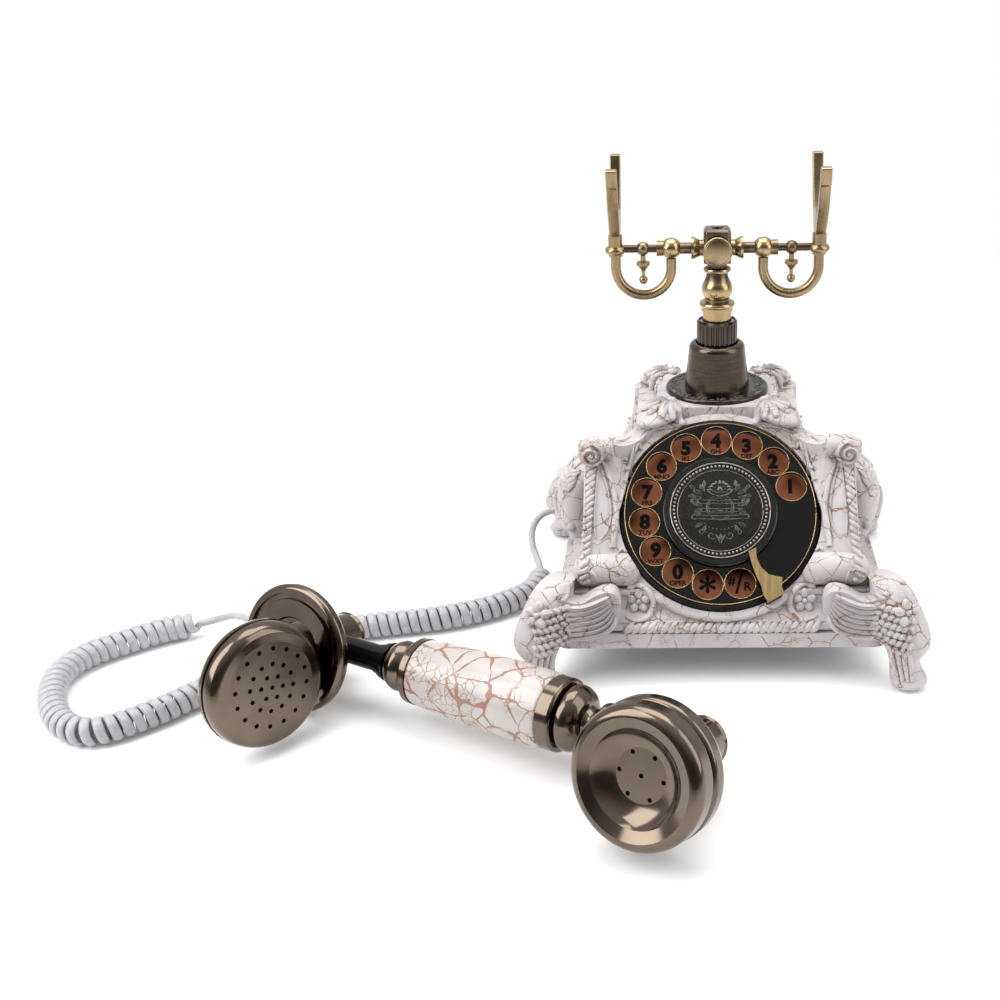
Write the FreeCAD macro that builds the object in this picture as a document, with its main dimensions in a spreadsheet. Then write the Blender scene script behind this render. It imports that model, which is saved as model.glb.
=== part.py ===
# Desk telephone with a tall cradle, a rotary dial and a loose handset.
# Millimetres, +Z up. The table is at z = 0 and the dial faces -Y.
import FreeCAD, Part
import os
import math
import Sketcher

V = FreeCAD.Vector
os.makedirs("parts", exist_ok=True)
doc = FreeCAD.newDocument("desk_telephone")

# Driving sizes: name, millimetres or degrees.
SIZES = [
    # Where the telephone's column stands in the row's frame
    ("column_east", 62.0),
    ("column_north", 84.0),
    # Clearances
    ("fit_gap", 0.3),
    ("run_gap", 0.05),
    ("seat_gap", 0.2),
    # Moulded housing
    ("wall", 4.0),
    ("plinth_under", 18.2),
    ("band_top", 25.7),
    ("rope_top", 31.0),
    ("ledge_low", 43.5),
    ("ledge_high", 48.7),
    ("block_under", 103.0),
    ("block_top", 111.0),
    ("plinth_half", 77.0),
    ("plinth_front", 98.7),
    ("plinth_rear", 60.0),
    ("neck_half", 39.0),
    ("neck_front", 33.0),
    ("neck_rear", 33.0),
    ("block_half", 30.0),
    ("block_front", 28.0),
    ("block_rear", 27.0),
    ("waist_half", 60.0),
    ("waist_rear", 52.0),
    ("body_flare", 3.6),
    ("console_roll", 5.2),
    ("console_width", 12.0),
    ("console_out", 58.0),
    ("foot_spread", 90.0),
    ("foot_reach", 101.0),
    ("foot_girth", 7.0),
    ("pad_radius", 5.0),
    ("pad_height", 1.6),
    # Dial
    ("dial_tilt", 43.4),
    ("dial_front", 66.0),
    ("dial_height", 72.8),
    ("wheel_radius", 45.3),
    ("wheel_thick", 2.0),
    ("hole_ring", 36.0),
    ("hole_radius", 7.2),
    ("hole_first", 20.0),
    ("hole_step", 24.0),
    ("hole_count", 12.0),
    ("bezel_radius", 47.6),
    ("bezel_rim", 1.1),
    ("bezel_back", 4.8),
    ("ring_width", 4.0),
    ("number_depth", 7.2),
    ("number_thick", 0.8),
    ("floor_thick", 1.2),
    ("can_radius", 36.0),
    ("can_depth", 17.0),
    ("can_wall", 1.5),
    ("shaft_radius", 3.0),
    ("carrier_radius", 8.0),
    ("centre_radius", 27.4),
    ("centre_thick", 0.8),
    ("medal_radius", 23.4),
    ("medal_thick", 2.0),
    ("gear_radius", 22.0),
    ("gear_thick", 1.6),
    ("gear_depth", 16.0),
    ("stop_angle", -60.0),
    ("stop_width", 7.0),
    ("stop_thick", 1.2),
    # Stand on the housing
    ("flange_radius", 25.6),
    ("flange_thick", 1.6),
    ("cup_low_radius", 16.3),
    ("cup_high_radius", 13.9),
    ("cup_top", 136.0),
    ("collar_radius", 10.1),
    ("collar_top", 147.0),
    ("flute_count", 26.0),
    ("flute_radius", 0.62),
    ("tube_radius", 8.8),
    ("tube_under", 91.0),
    ("nut_flats", 24.0),
    ("nut_thick", 5.0),
    # Cradle
    ("press_travel", 5.0),
    ("pipe_radius", 7.1),
    ("pipe_under", 112.0),
    ("pipe_top", 151.5),
    ("bead_radius", 8.3),
    ("bead_tall", 5.0),
    ("belly_radius", 7.5),
    ("belly_height", 162.3),
    ("neck_radius", 4.7),
    ("collar_low", 170.7),
    ("collar_tall", 2.3),
    ("small_collar", 6.4),
    ("bar_height", 182.3),
    ("hub_half", 6.5),
    ("hub_tall", 9.7),
    ("hub_hole", 2.7),
    ("cap_radius", 7.1),
    ("cap_reach", 10.4),
    ("trumpet_end", 12.5),
    ("trumpet_small", 3.9),
    ("trumpet_wide", 5.4),
    ("bar_radius", 2.7),
    ("ball_radius", 5.05),
    ("ball_east", 22.2),
    ("thin_bar", 1.85),
    ("bead_ball", 3.24),
    ("post_east", 49.0),
    ("post_radius", 3.4),
    ("post_top", 189.0),
    ("post_ring", 1.9),
    ("hook_pipe", 2.45),
    ("hook_drop", 9.4),
    ("finial_ball", 2.1),
    ("fork_thick", 5.0),
    ("fork_tip", 223.6),
    ("fork_spread", 21.0),
    ("saddle_height", 201.0),
    ("plunger_radius", 2.4),
    ("plunger_under", 77.0),
    ("spring_radius", 4.9),
    ("spring_wire", 0.45),
    ("spring_turns", 6.0),
    # Handset, along its handle, from the middle of the grip
    ("grip_half", 34.6),
    ("grip_low", 14.8),
    ("grip_mid", 16.6),
    ("grip_high", 16.6),
    ("tie_radius", 3.0),
    ("ferrule_long", 6.0),
    ("head_out", 94.5),
    ("ear_out", 97.0),
    ("barrel_radius", 10.5),
    ("barrel_back", 15.0),
    ("ring_face", 21.0),
    ("ring_radius", 29.6),
    ("ring_thick", 8.0),
    ("boss_radius", 12.0),
    ("boss_tall", 4.0),
    ("ear_face", 43.5),
    ("ear_radius", 28.6),
    ("ear_depth", 23.5),
    ("ear_cap_tall", 12.5),
    ("ear_shell", 29.0),
    ("ear_flat", 11.0),
    ("mouth_radius", 28.0),
    ("mouth_tall", 19.0),
    ("mouth_cap_tall", 8.0),
    ("mouth_wall", 2.0),
    ("neck_pipe", 6.0),
    ("tube_pipe", 6.2),
    ("strand_radius", 1.9),
    ("coil_radius", 6.5),
]
sheet = doc.addObject("Spreadsheet::Sheet", "sizes")
for row, (name, value) in enumerate(SIZES, start=1):
    sheet.set("A%d" % row, name)
    sheet.set("B%d" % row, "%.6g" % value)
    sheet.setAlias("B%d" % row, name)
doc.recompute()


class Size:
    """A number with the sheet expression that yields it."""

    def __init__(self, value, text):
        self.value = float(value)
        self.text = text

    def __add__(self, other):
        return Size(self.value + num(other), "(%s + %s)" % (self.text, words(other)))

    def __radd__(self, other):
        return Size(num(other) + self.value, "(%s + %s)" % (words(other), self.text))

    def __sub__(self, other):
        return Size(self.value - num(other), "(%s - %s)" % (self.text, words(other)))

    def __rsub__(self, other):
        return Size(num(other) - self.value, "(%s - %s)" % (words(other), self.text))

    def __mul__(self, other):
        return Size(self.value * num(other), "(%s * %s)" % (self.text, words(other)))

    def __rmul__(self, other):
        return Size(num(other) * self.value, "(%s * %s)" % (words(other), self.text))

    def __truediv__(self, other):
        return Size(self.value / num(other), "(%s / %s)" % (self.text, words(other)))

    def __rtruediv__(self, other):
        return Size(num(other) / self.value, "(%s / %s)" % (words(other), self.text))

    def __neg__(self):
        return Size(-self.value, "(-1 * %s)" % self.text)


def num(size):
    return size.value if isinstance(size, Size) else float(size)


def root(size):
    """Square root of a number or a size."""
    if isinstance(size, Size):
        return Size(math.sqrt(size.value), "sqrt(%s)" % size.text)
    return math.sqrt(size)


def words(size):
    return size.text if isinstance(size, Size) else "%.12g" % size


class Names:
    """The sheet's sizes, each read once by its name."""

    def __getattr__(self, name):
        return Size(float(getattr(sheet, name)), "sizes.%s" % name)


q = Names()
NODES = []


def bind(obj, prop, size):
    """Give a property its value, and its expression when it comes from the sheet."""
    if isinstance(size, Size):
        obj.setExpression(prop, size.text)
    else:
        setattr(obj, prop, size)


def frame(origin, along, across=None):
    """A placement whose local Z is along and whose local X is near across."""
    z = V(along).normalize()
    x = V(across) if across is not None else V(1, 0, 0)
    x = x - z * x.dot(z)
    if x.Length < 1e-6:
        x = V(0, 1, 0) - z * z.y
    x.normalize()
    y = z.cross(x)
    turn = FreeCAD.Matrix(x.x, y.x, z.x, 0, x.y, y.y, z.y, 0, x.z, y.z, z.z, 0, 0, 0, 0, 1)
    place = FreeCAD.Placement(turn)
    place.Base = V(origin)
    return place


STAND = FreeCAD.Placement(V(num(q.column_east), num(q.column_north), 0), FreeCAD.Rotation())


def node(obj, label, place=None):
    """Name a sub-part and set it where the telephone stands."""
    obj.Label = label
    obj.Placement = STAND.multiply(place) if place is not None else STAND
    NODES.append((label, obj))
    return obj


def role_plane(body, role):
    for feature in body.Origin.OriginFeatures:
        if feature.Role == role:
            return feature


def outline(sketch, points):
    """Close a profile of (x, y) corners that runs anticlockwise.

    A third number is the radius of the arc that leads to the corner, negative where it is hollow.
    """
    count = len(points)
    flat = [V(num(p[0]), num(p[1]), 0) for p in points]
    shapes = []
    ends = []
    for i in range(count):
        a = flat[i - 1]
        b = flat[i]
        ends.append((1, 2))
        if len(points[i]) > 2:
            radius = num(points[i][2])
            chord = b - a
            rise = math.sqrt(radius * radius - chord.Length * chord.Length / 4.0)
            left = V(-chord.y, chord.x, 0).normalize()
            centre = (a + b) * 0.5 + left * (rise if radius > 0 else -rise)
            if radius < 0:
                a, b = b, a
                ends[-1] = (2, 1)
            start = math.atan2(a.y - centre.y, a.x - centre.x)
            stop = math.atan2(b.y - centre.y, b.x - centre.x)
            circle = Part.Circle(centre, V(0, 0, 1), abs(radius))
            shapes.append(Part.ArcOfCircle(circle, start, stop if stop > start else stop + 2 * math.pi))
        else:
            shapes.append(Part.LineSegment(a, b))
    sketch.addGeometry(shapes, False)
    rules = []
    bound = []
    for i in range(count):
        nxt = (i + 1) % count
        rules.append(Sketcher.Constraint("Coincident", i, ends[i][1], nxt, ends[nxt][0]))
    for i in range(count):
        for kind, axis, value in (("DistanceX", -2, points[i][0]), ("DistanceY", -1, points[i][1])):
            if not isinstance(value, Size) and abs(value) < 1e-9:
                rules.append(Sketcher.Constraint("PointOnObject", i, ends[i][1], axis))
            else:
                bound.append((len(rules), value))
                rules.append(Sketcher.Constraint(kind, -1, 1, i, ends[i][1], num(value)))
        if len(points[i]) > 2:
            # One coordinate of the centre fixes the arc, whichever the chord leaves free
            (ax, ay), (bx, by), radius = points[i - 1][:2], points[i][:2], points[i][2]
            dx = bx - ax
            dy = by - ay
            shift = root(radius * radius / (dx * dx + dy * dy) - 0.25)
            if num(radius) < 0:
                shift = 0 - shift
            if abs(num(dy)) >= abs(num(dx)):
                bound.append((len(rules), (ax + bx) / 2 - dy * shift))
                rules.append(Sketcher.Constraint("DistanceX", -1, 1, i, 3, num(bound[-1][1])))
            else:
                bound.append((len(rules), (ay + by) / 2 + dx * shift))
                rules.append(Sketcher.Constraint("DistanceY", -1, 1, i, 3, num(bound[-1][1])))
    sketch.addConstraint(rules)
    for index, value in bound:
        if isinstance(value, Size):
            sketch.setExpression("Constraints[%d]" % index, value.text)


def new_body(label, role, points):
    body = doc.addObject("PartDesign::Body", label)
    sketch = body.newObject("Sketcher::SketchObject", label + "_profile")
    sketch.AttachmentSupport = (role_plane(body, role), [""])
    sketch.MapMode = "FlatFace"
    if points:
        outline(sketch, points)
    return body, sketch


def turned(label, points, place=None):
    """A turned piece: corners are (radius, height) round the local Z axis."""
    body, sketch = new_body(label, "XZ_Plane", points)
    turn = body.newObject("PartDesign::Revolution", label + "_turn")
    turn.Profile = sketch
    turn.ReferenceAxis = (sketch, ["V_Axis"])
    turn.Angle = 360.0
    return node(body, label, place)


def padded(label, points, length, place=None, both=False):
    """A plate: corners in local XY, padded along local Z."""
    body, sketch = new_body(label, "XY_Plane", points)
    pad = body.newObject("PartDesign::Pad", label + "_pad")
    pad.Profile = sketch
    bind(pad, "Length", length)
    pad.Midplane = both
    return node(body, label, place)


def drilled(body, east, north, radius, count=1, angle=360.0):
    """Bore a hole right through along local Z and repeat it round the axis."""
    doc.recompute()
    name = "%s_bore%d" % (body.Name, len(body.Group))
    sketch = body.newObject("Sketcher::SketchObject", name)
    sketch.AttachmentSupport = (role_plane(body, "XY_Plane"), [""])
    sketch.MapMode = "FlatFace"
    sketch.addGeometry(Part.Circle(V(num(east), num(north), 0), V(0, 0, 1), num(radius)), False)
    sketch.addConstraint(Sketcher.Constraint("Radius", 0, num(radius)))
    if isinstance(radius, Size):
        sketch.setExpression("Constraints[0]", radius.text)
    for index, (kind, axis, value) in enumerate((("DistanceX", -2, east), ("DistanceY", -1, north)), 1):
        if not isinstance(value, Size) and abs(value) < 1e-9:
            sketch.addConstraint(Sketcher.Constraint("PointOnObject", 0, 3, axis))
        else:
            sketch.addConstraint(Sketcher.Constraint(kind, -1, 1, 0, 3, num(value)))
            if isinstance(value, Size):
                sketch.setExpression("Constraints[%d]" % index, value.text)
    cut = body.newObject("PartDesign::Pocket", name + "_cut")
    cut.Profile = sketch
    cut.Type = "ThroughAll"
    cut.Midplane = True
    if count > 1:
        ring = body.newObject("PartDesign::PolarPattern", name + "_ring")
        ring.Originals = [cut]
        ring.Axis = (sketch, ["N_Axis"])
        ring.Angle = angle
        ring.Occurrences = int(count)
        body.Tip = ring
    return body


def solid(label, shape, place=None):
    """A free shape, its sizes read from the sheet by the code that made it."""
    obj = doc.addObject("Part::Feature", label)
    obj.Shape = shape
    return node(obj, label, place)


def gathered(kind, label, pieces):
    """Several pieces as one sub-part: joined where they are one piece, or kept as separate solids."""
    for piece in pieces:
        piece.Placement = STAND.inverse().multiply(piece.Placement)
        NODES[:] = [pair for pair in NODES if pair[1] is not piece]
    whole = doc.addObject(kind, label)
    if kind == "Part::MultiFuse":
        whole.Shapes = pieces
        whole.Refine = True
    else:
        whole.Links = pieces
    return node(whole, label)


def cylinder(radius, low, high, place=None):
    shape = Part.makeCylinder(num(radius), num(high) - num(low), V(0, 0, num(low)))
    if place is not None:
        shape.Placement = place
    return shape


def box(x0, x1, y0, y1, z0, z1):
    return Part.makeBox(num(x1) - num(x0), num(y1) - num(y0), num(z1) - num(z0),
                        V(num(x0), num(y0), num(z0)))


def route(points, radius, name):
    """A round strand that follows the points: straight runs joined by tangent arcs."""
    edges = []
    here = points[0]
    radii = []
    for i in range(1, len(points) - 1):
        back = points[i - 1] - points[i]
        ahead = points[i + 1] - points[i]
        turn = math.pi - back.getAngle(ahead)
        reach = 0.45 * min(back.Length, ahead.Length)
        radii.append(reach / math.tan(turn / 2.0))
        into = points[i] + back.normalize() * reach
        away = points[i] + ahead.normalize() * reach
        middle_way = (back + ahead).normalize()
        gap = radii[-1] / math.cos(turn / 2.0) - radii[-1]
        edges.append(Part.LineSegment(here, into).toShape())
        edges.append(Part.Arc(into, points[i] + middle_way * gap, away).toShape())
        here = away
    edges.append(Part.LineSegment(here, points[-1]).toShape())
    path = Part.Wire(edges)
    start = (points[1] - points[0]).normalize()
    rim = Part.Wire(Part.makeCircle(radius, points[0], start))
    tube = path.makePipeShell([rim], True, False)
    length = path.Length
    print(name, "length %.1f" % length, "radii", " ".join("%.1f" % r for r in radii),
          "volume ratio %.4f" % (tube.Volume / (math.pi * radius * radius * length)))
    return tube



# Dial: local Z is the dial's outward normal, local X is the row's +X
# The finger wheel's face is the plane z = 0 of this frame
tilt = math.radians(num(q.dial_tilt))
DIAL = frame((0, -num(q.dial_front), num(q.dial_height)), (0, -math.cos(tilt), math.sin(tilt)), (1, 0, 0))
wheel_under = -q.wheel_thick
plate_top = -q.number_depth
plate_under = plate_top - q.number_thick
floor_top = plate_under
floor_under = floor_top - q.floor_thick
can_end = floor_under - q.can_depth

# Finger wheel with its ring of holes
wheel = padded("finger_wheel", [], q.wheel_thick, DIAL)
wheel_sketch = wheel.Group[0]
wheel_sketch.addGeometry(Part.Circle(V(0, 0, 0), V(0, 0, 1), num(q.wheel_radius)), False)
wheel_sketch.addGeometry(Part.Circle(V(0, 0, 0), V(0, 0, 1), num(q.shaft_radius + q.run_gap)), False)
for index, size in enumerate((q.wheel_radius, q.shaft_radius + q.run_gap)):
    wheel_sketch.addConstraint(Sketcher.Constraint("Coincident", index, 3, -1, 1))
    rule = wheel_sketch.addConstraint(Sketcher.Constraint("Radius", index, num(size)))
    wheel_sketch.setExpression("Constraints[%d]" % rule, size.text)
wheel.Group[1].Reversed = True
doc.recompute()
first = math.radians(num(q.hole_first))
steps = int(num(q.hole_count))
drilled(wheel, q.hole_ring * math.cos(first), q.hole_ring * math.sin(first), q.hole_radius,
        steps, num(q.hole_step) * (steps - 1))

# Centre ring, a shallow cup that holds the medallion
lip = q.centre_thick + 1.4
seat_in = q.medal_radius + q.seat_gap
turned("centre_ring", [
    (q.shaft_radius + q.run_gap, 0.0), (q.centre_radius, 0.0), (q.centre_radius, q.centre_thick),
    (q.centre_radius - 1.0, lip, 1.6), (seat_in + 0.4, lip), (seat_in, lip - 0.4),
    (seat_in, q.centre_thick), (q.shaft_radius + q.run_gap, q.centre_thick)], DIAL)

# Medallion with a raised border and a slightly domed field
field = q.medal_radius - 3.4
crest = q.centre_thick + q.medal_thick
turned("medallion", [
    (0.0, q.centre_thick), (q.medal_radius, q.centre_thick), (q.medal_radius, crest - 0.5),
    (q.medal_radius - 0.5, crest), (field + 0.6, crest), (field, crest - 0.7), (0.0, crest - 0.1)], DIAL)

# Shaft with the carrier on which the wheel sits
shaft_end = can_end + q.can_wall + q.fit_gap
turned("dial_shaft", [
    (0.0, shaft_end), (q.shaft_radius, shaft_end), (q.shaft_radius, wheel_under - 2.2),
    (q.carrier_radius, wheel_under - 2.2), (q.carrier_radius, wheel_under),
    (q.shaft_radius, wheel_under), (q.shaft_radius, q.centre_thick), (0.0, q.centre_thick)], DIAL)

# Number plate under the wheel
turned("number_plate", [
    (q.carrier_radius + 1.2, plate_under), (q.bezel_radius - q.bezel_rim - q.seat_gap, plate_under),
    (q.bezel_radius - q.bezel_rim - q.seat_gap, plate_top), (q.carrier_radius + 1.2, plate_top)], DIAL)

# Black bezel: a dish with a rounded rim and a floor that carries the number plate
bush_bore = q.shaft_radius + q.run_gap
rim_in = q.bezel_radius - q.bezel_rim
turned("dial_bezel", [
    (bush_bore + 4.0, floor_under), (q.bezel_radius, floor_under), (q.bezel_radius, -q.bezel_back - 0.5),
    (q.bezel_radius - 0.5, -q.bezel_back), (rim_in, -q.bezel_back), (rim_in, floor_top),
    (bush_bore + 4.0, floor_top)], DIAL)

# Mechanism can behind the bezel with the shaft's bush in its front wall
front_under = floor_under - q.can_wall
can = turned("can_wall", [
    (bush_bore, front_under), (q.can_radius - q.can_wall, front_under),
    (q.can_radius - q.can_wall, can_end + q.can_wall), (0.0, can_end + q.can_wall), (0.0, can_end),
    (q.can_radius, can_end), (q.can_radius, floor_under), (bush_bore + 3.7, floor_under),
    (bush_bore + 3.7, plate_top - 0.4), (bush_bore, plate_top - 0.4)], DIAL)

# Gear on the shaft inside the can, and the governor's pinion that it drives
tooth = math.pi / 36.0
gear_teeth = 36
pinion_teeth = 9
gear_z = -q.gear_depth


def toothed(radius, teeth, depth, bore, low, high, turn):
    """A spur wheel: its teeth are trapezia on one closed outline."""
    corners = []
    pitch = 2 * math.pi / teeth
    for i in range(teeth):
        middle = i * pitch + turn
        for share, reach in ((-0.27, -depth), (-0.12, depth * 0.8), (0.12, depth * 0.8), (0.27, -depth)):
            a = middle + share * pitch
            corners.append(V((radius + reach) * math.cos(a), (radius + reach) * math.sin(a), low))
    corners.append(corners[0])
    blank = Part.Face(Part.makePolygon(corners)).extrude(V(0, 0, high - low))
    return blank.cut(cylinder(bore, low - 1, high + 1))


pinion_radius = num(q.gear_radius) * pinion_teeth / gear_teeth
pinion_reach = num(q.gear_radius) + pinion_radius
gear_low = num(gear_z - q.gear_thick)
gear_high = num(gear_z)
solid("dial_gear", toothed(num(q.gear_radius), gear_teeth, 1.1, num(q.shaft_radius), gear_low,
                           gear_high, 0.0), DIAL)
pinion_low = num(can_end + q.can_wall + q.fit_gap)
pin_r = num(q.shaft_radius) / 2.0
governor = toothed(pinion_radius, pinion_teeth, 1.1, pin_r + num(q.run_gap), gear_low, gear_high,
                   math.pi / pinion_teeth)
drum = Part.makeCylinder(pinion_radius * 0.75, 0.01 + gear_low - pinion_low, V(0, 0, pinion_low))
drum = drum.cut(cylinder(pin_r + num(q.run_gap), pinion_low - 1, gear_high))
PINION = DIAL.multiply(FreeCAD.Placement(V(0, pinion_reach, 0), FreeCAD.Rotation(V(0, 0, 1), -90)))
solid("governor_pinion", governor.fuse(drum).removeSplitter(), PINION)
pin = solid("governor_pin", cylinder(pin_r, can_end + q.can_wall, front_under), PINION)
gathered("Part::MultiFuse", "dial_can", [can, pin])

# Finger stop: an outer foot clipped over the bezel's rim and a blade that reaches in over the holes
stop = math.radians(num(q.stop_angle))
blade_z = num(lip + q.fit_gap) + 0.05
near = num(q.medal_radius) + 0.8
blade = Part.makePolygon([V(near, 0.7, 0), V(28.4, -0.7, 0), V(34.2, -2.1, 0), V(41.1, -2.9, 0), V(45.4, -4.3, 0),
                          V(49.4, -4.3, 0), V(49.4, 4.3, 0), V(46.6, 5.0, 0), V(44.4, 6.5, 0), V(42.6, 7.6, 0),
                          V(41.2, 5.8, 0), V(38.3, 2.9, 0), V(33.7, 1.7, 0), V(28.8, 2.3, 0), V(near + 0.2, 4.6, 0),
                          V(near, 0.7, 0)])
rim_out = num(q.bezel_radius)
blade_face = Part.Face(blade)
plate = blade_face.extrude(V(0, 0, num(q.stop_thick)))
plate.translate(V(0, 0, blade_z))
leg = box(rim_out + 0.15, rim_out + 0.15 + num(q.stop_thick), -3.9, 3.9, -num(q.bezel_back) - 3.2, blade_z + 0.2)
stop_shape = plate.fuse(leg)
stop_shape.rotate(V(0, 0, 0), V(0, 0, 1), math.degrees(stop))
solid("finger_stop", stop_shape.removeSplitter(), DIAL)

# Stand: flange, cup and fluted collar round the column's guide tube
flange_low = q.block_top
flange_top = flange_low + q.flange_thick
tube_bore = q.pipe_radius + q.run_gap
cup_bore = q.tube_radius + q.seat_gap
turned("stand_flange", [
    (cup_bore, flange_low), (q.flange_radius, flange_low), (q.flange_radius, flange_top - 0.4),
    (q.flange_radius - 1.6, flange_top + 0.5, 1.3), (q.flange_radius - 3.4, flange_top), (cup_bore, flange_top)])

turned("stand_cup", [
    (cup_bore, flange_top), (q.cup_low_radius, flange_top), (q.cup_high_radius, q.cup_top - 3.0),
    (q.cup_high_radius - 2.6, q.cup_top - 0.3, 3.2), (q.collar_radius + 0.7, q.cup_top - 0.3),
    (q.collar_radius + 0.7, q.cup_top - 1.4), (cup_bore, q.cup_top - 1.4)])

collar_low = q.cup_top - 1.4
collar = turned("fluted_collar", [
    (cup_bore, collar_low), (q.collar_radius, collar_low), (q.collar_radius, q.collar_top - 1.0),
    (q.collar_radius - 1.0, q.collar_top), (cup_bore, q.collar_top)])
doc.recompute()
flutes = collar.newObject("Sketcher::SketchObject", "flute")
flutes.AttachmentSupport = (role_plane(collar, "XY_Plane"), [""])
flutes.MapMode = "FlatFace"
flutes.addGeometry(Part.Circle(V(0, num(q.collar_radius), 0), V(0, 0, 1), num(q.flute_radius)), False)
flutes.addConstraint([
    Sketcher.Constraint("PointOnObject", 0, 3, -2),
    Sketcher.Constraint("DistanceY", -1, 1, 0, 3, num(q.collar_radius)),
    Sketcher.Constraint("Radius", 0, num(q.flute_radius))])
flutes.setExpression("Constraints[1]", q.collar_radius.text)
flutes.setExpression("Constraints[2]", q.flute_radius.text)
groove = collar.newObject("PartDesign::Pocket", "flute_cut")
groove.Profile = flutes
groove.Reversed = True
bind(groove, "Length", q.collar_top - 1.6)
groove.Type = "Length"
ring = collar.newObject("PartDesign::PolarPattern", "flute_ring")
ring.Originals = [groove]
ring.Axis = (flutes, ["N_Axis"])
ring.Angle = 360
ring.Occurrences = int(num(q.flute_count))
collar.Tip = ring

# Guide tube through flange, cup and collar, with a shelf at its foot for the spring
shelf = q.tube_under + 2.0
shelf_bore = q.plunger_radius + q.run_gap * 4
turned("guide_tube", [
    (shelf_bore, q.tube_under), (q.tube_radius, q.tube_under), (q.tube_radius, q.collar_top - 0.8),
    (tube_bore, q.collar_top - 0.8), (tube_bore, shelf), (shelf_bore, shelf)])

# Nut that clamps the guide tube under the housing's top
nut_top = q.block_top - q.wall * 3.0
hexagon = Part.makePolygon([V(num(q.nut_flats) / math.sqrt(3) * math.cos(math.radians(a)),
                              num(q.nut_flats) / math.sqrt(3) * math.sin(math.radians(a)), num(nut_top - q.nut_thick))
                            for a in range(0, 361, 60)])
nut = Part.Face(hexagon).extrude(V(0, 0, num(q.nut_thick)))
solid("tube_nut", nut.cut(cylinder(q.tube_radius + q.run_gap, 0, q.block_top)))

# Cradle column: pipe in the guide, bead, baluster and small collar
bead_low = q.pipe_top
bead_top = bead_low + q.bead_tall
collar_high = q.collar_low + q.collar_tall
column_top = q.bar_height - q.hub_half
column = turned("column", [
    (0.0, q.pipe_under), (q.pipe_radius, q.pipe_under), (q.pipe_radius, bead_low),
    (q.bead_radius - 0.5, bead_low), (q.bead_radius - 0.5, bead_low + 2.0),
    (q.bead_radius, bead_low + 2.2), (q.bead_radius, bead_top - 0.6, 1.6), (q.pipe_radius - 1.3, bead_top),
    (q.pipe_radius - 1.3, bead_top + 1.0), (q.belly_radius, q.belly_height, 7.0),
    (q.belly_radius - 0.8, q.belly_height + 3.2, 7.0), (q.neck_radius + 0.3, q.collar_low, -12.0), (q.small_collar, q.collar_low + 0.3),
    (q.small_collar, collar_high - 0.3, 1.6), (q.neck_radius, collar_high + 0.3),
    (q.neck_radius, column_top), (0.0, column_top)])

# Plunger below the pipe, down to the hook switch
plunger = turned("hook_plunger", [
    (0.0, q.plunger_under + 0.8), (q.plunger_radius - 0.8, q.plunger_under),
    (q.plunger_radius, q.plunger_under + 0.8), (q.plunger_radius, q.pipe_under), (0.0, q.pipe_under)])

gathered("Part::MultiFuse", "cradle_column", [column, plunger])

# Return spring between the tube's shelf and the pipe
spring_free = num(q.pipe_under - shelf)
wire = num(q.spring_wire)
pitch = (spring_free - 2 * wire - 0.1) / num(q.spring_turns)
coil_way = num(q.spring_radius) / math.cos(math.pi / 10.0)
winding = []
for i in range(int(round(num(q.spring_turns) * 10)) + 1):
    angle = math.radians(36.0 * i)
    winding.append(V(coil_way * math.cos(angle), coil_way * math.sin(angle), pitch * i / 10.0))
solid("cradle_spring", route(winding, wire, "spring"),
      FreeCAD.Placement(V(0, 0, num(shelf) + wire + 0.05), FreeCAD.Rotation()))

# Cross hub: a chamfered block with trumpets' seats, its top bored
hub = q.hub_half
block = box(-hub, hub, -hub, hub, q.bar_height - hub, q.bar_height + q.hub_tall)
edges = [e for e in block.Edges if abs(e.Vertexes[0].Z - e.Vertexes[1].Z) > 1 or
         e.BoundBox.ZMin > num(q.bar_height + q.hub_tall) - 0.1]
block = block.makeChamfer(1.3, edges)
block = block.cut(cylinder(q.hub_hole, q.bar_height + 3.5, q.bar_height + 20))
solid("cross_hub", block)

# Domed caps on the hub's front and rear
cap_step = q.cap_reach - hub
caps = []
for label, side in (("hub_cap_front", -1), ("hub_cap_rear", 1)):
    face_out = frame((0, side * num(hub), num(q.bar_height)), (0, side, 0), (1, 0, 0))
    caps.append(turned(label, [
        (0.0, 0.0), (q.cap_radius - 1.4, 0.0), (q.cap_radius - 1.4, 0.9), (q.cap_radius, 1.3),
        (q.cap_radius, cap_step - 1.3), (q.cap_radius - 0.9, cap_step - 0.5, 1.0),
        (q.cap_radius - 1.3, cap_step - 0.7), (0.4, cap_step, 26.0), (0.0, cap_step)], face_out))
gathered("Part::Compound", "hub_caps", caps)

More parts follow.
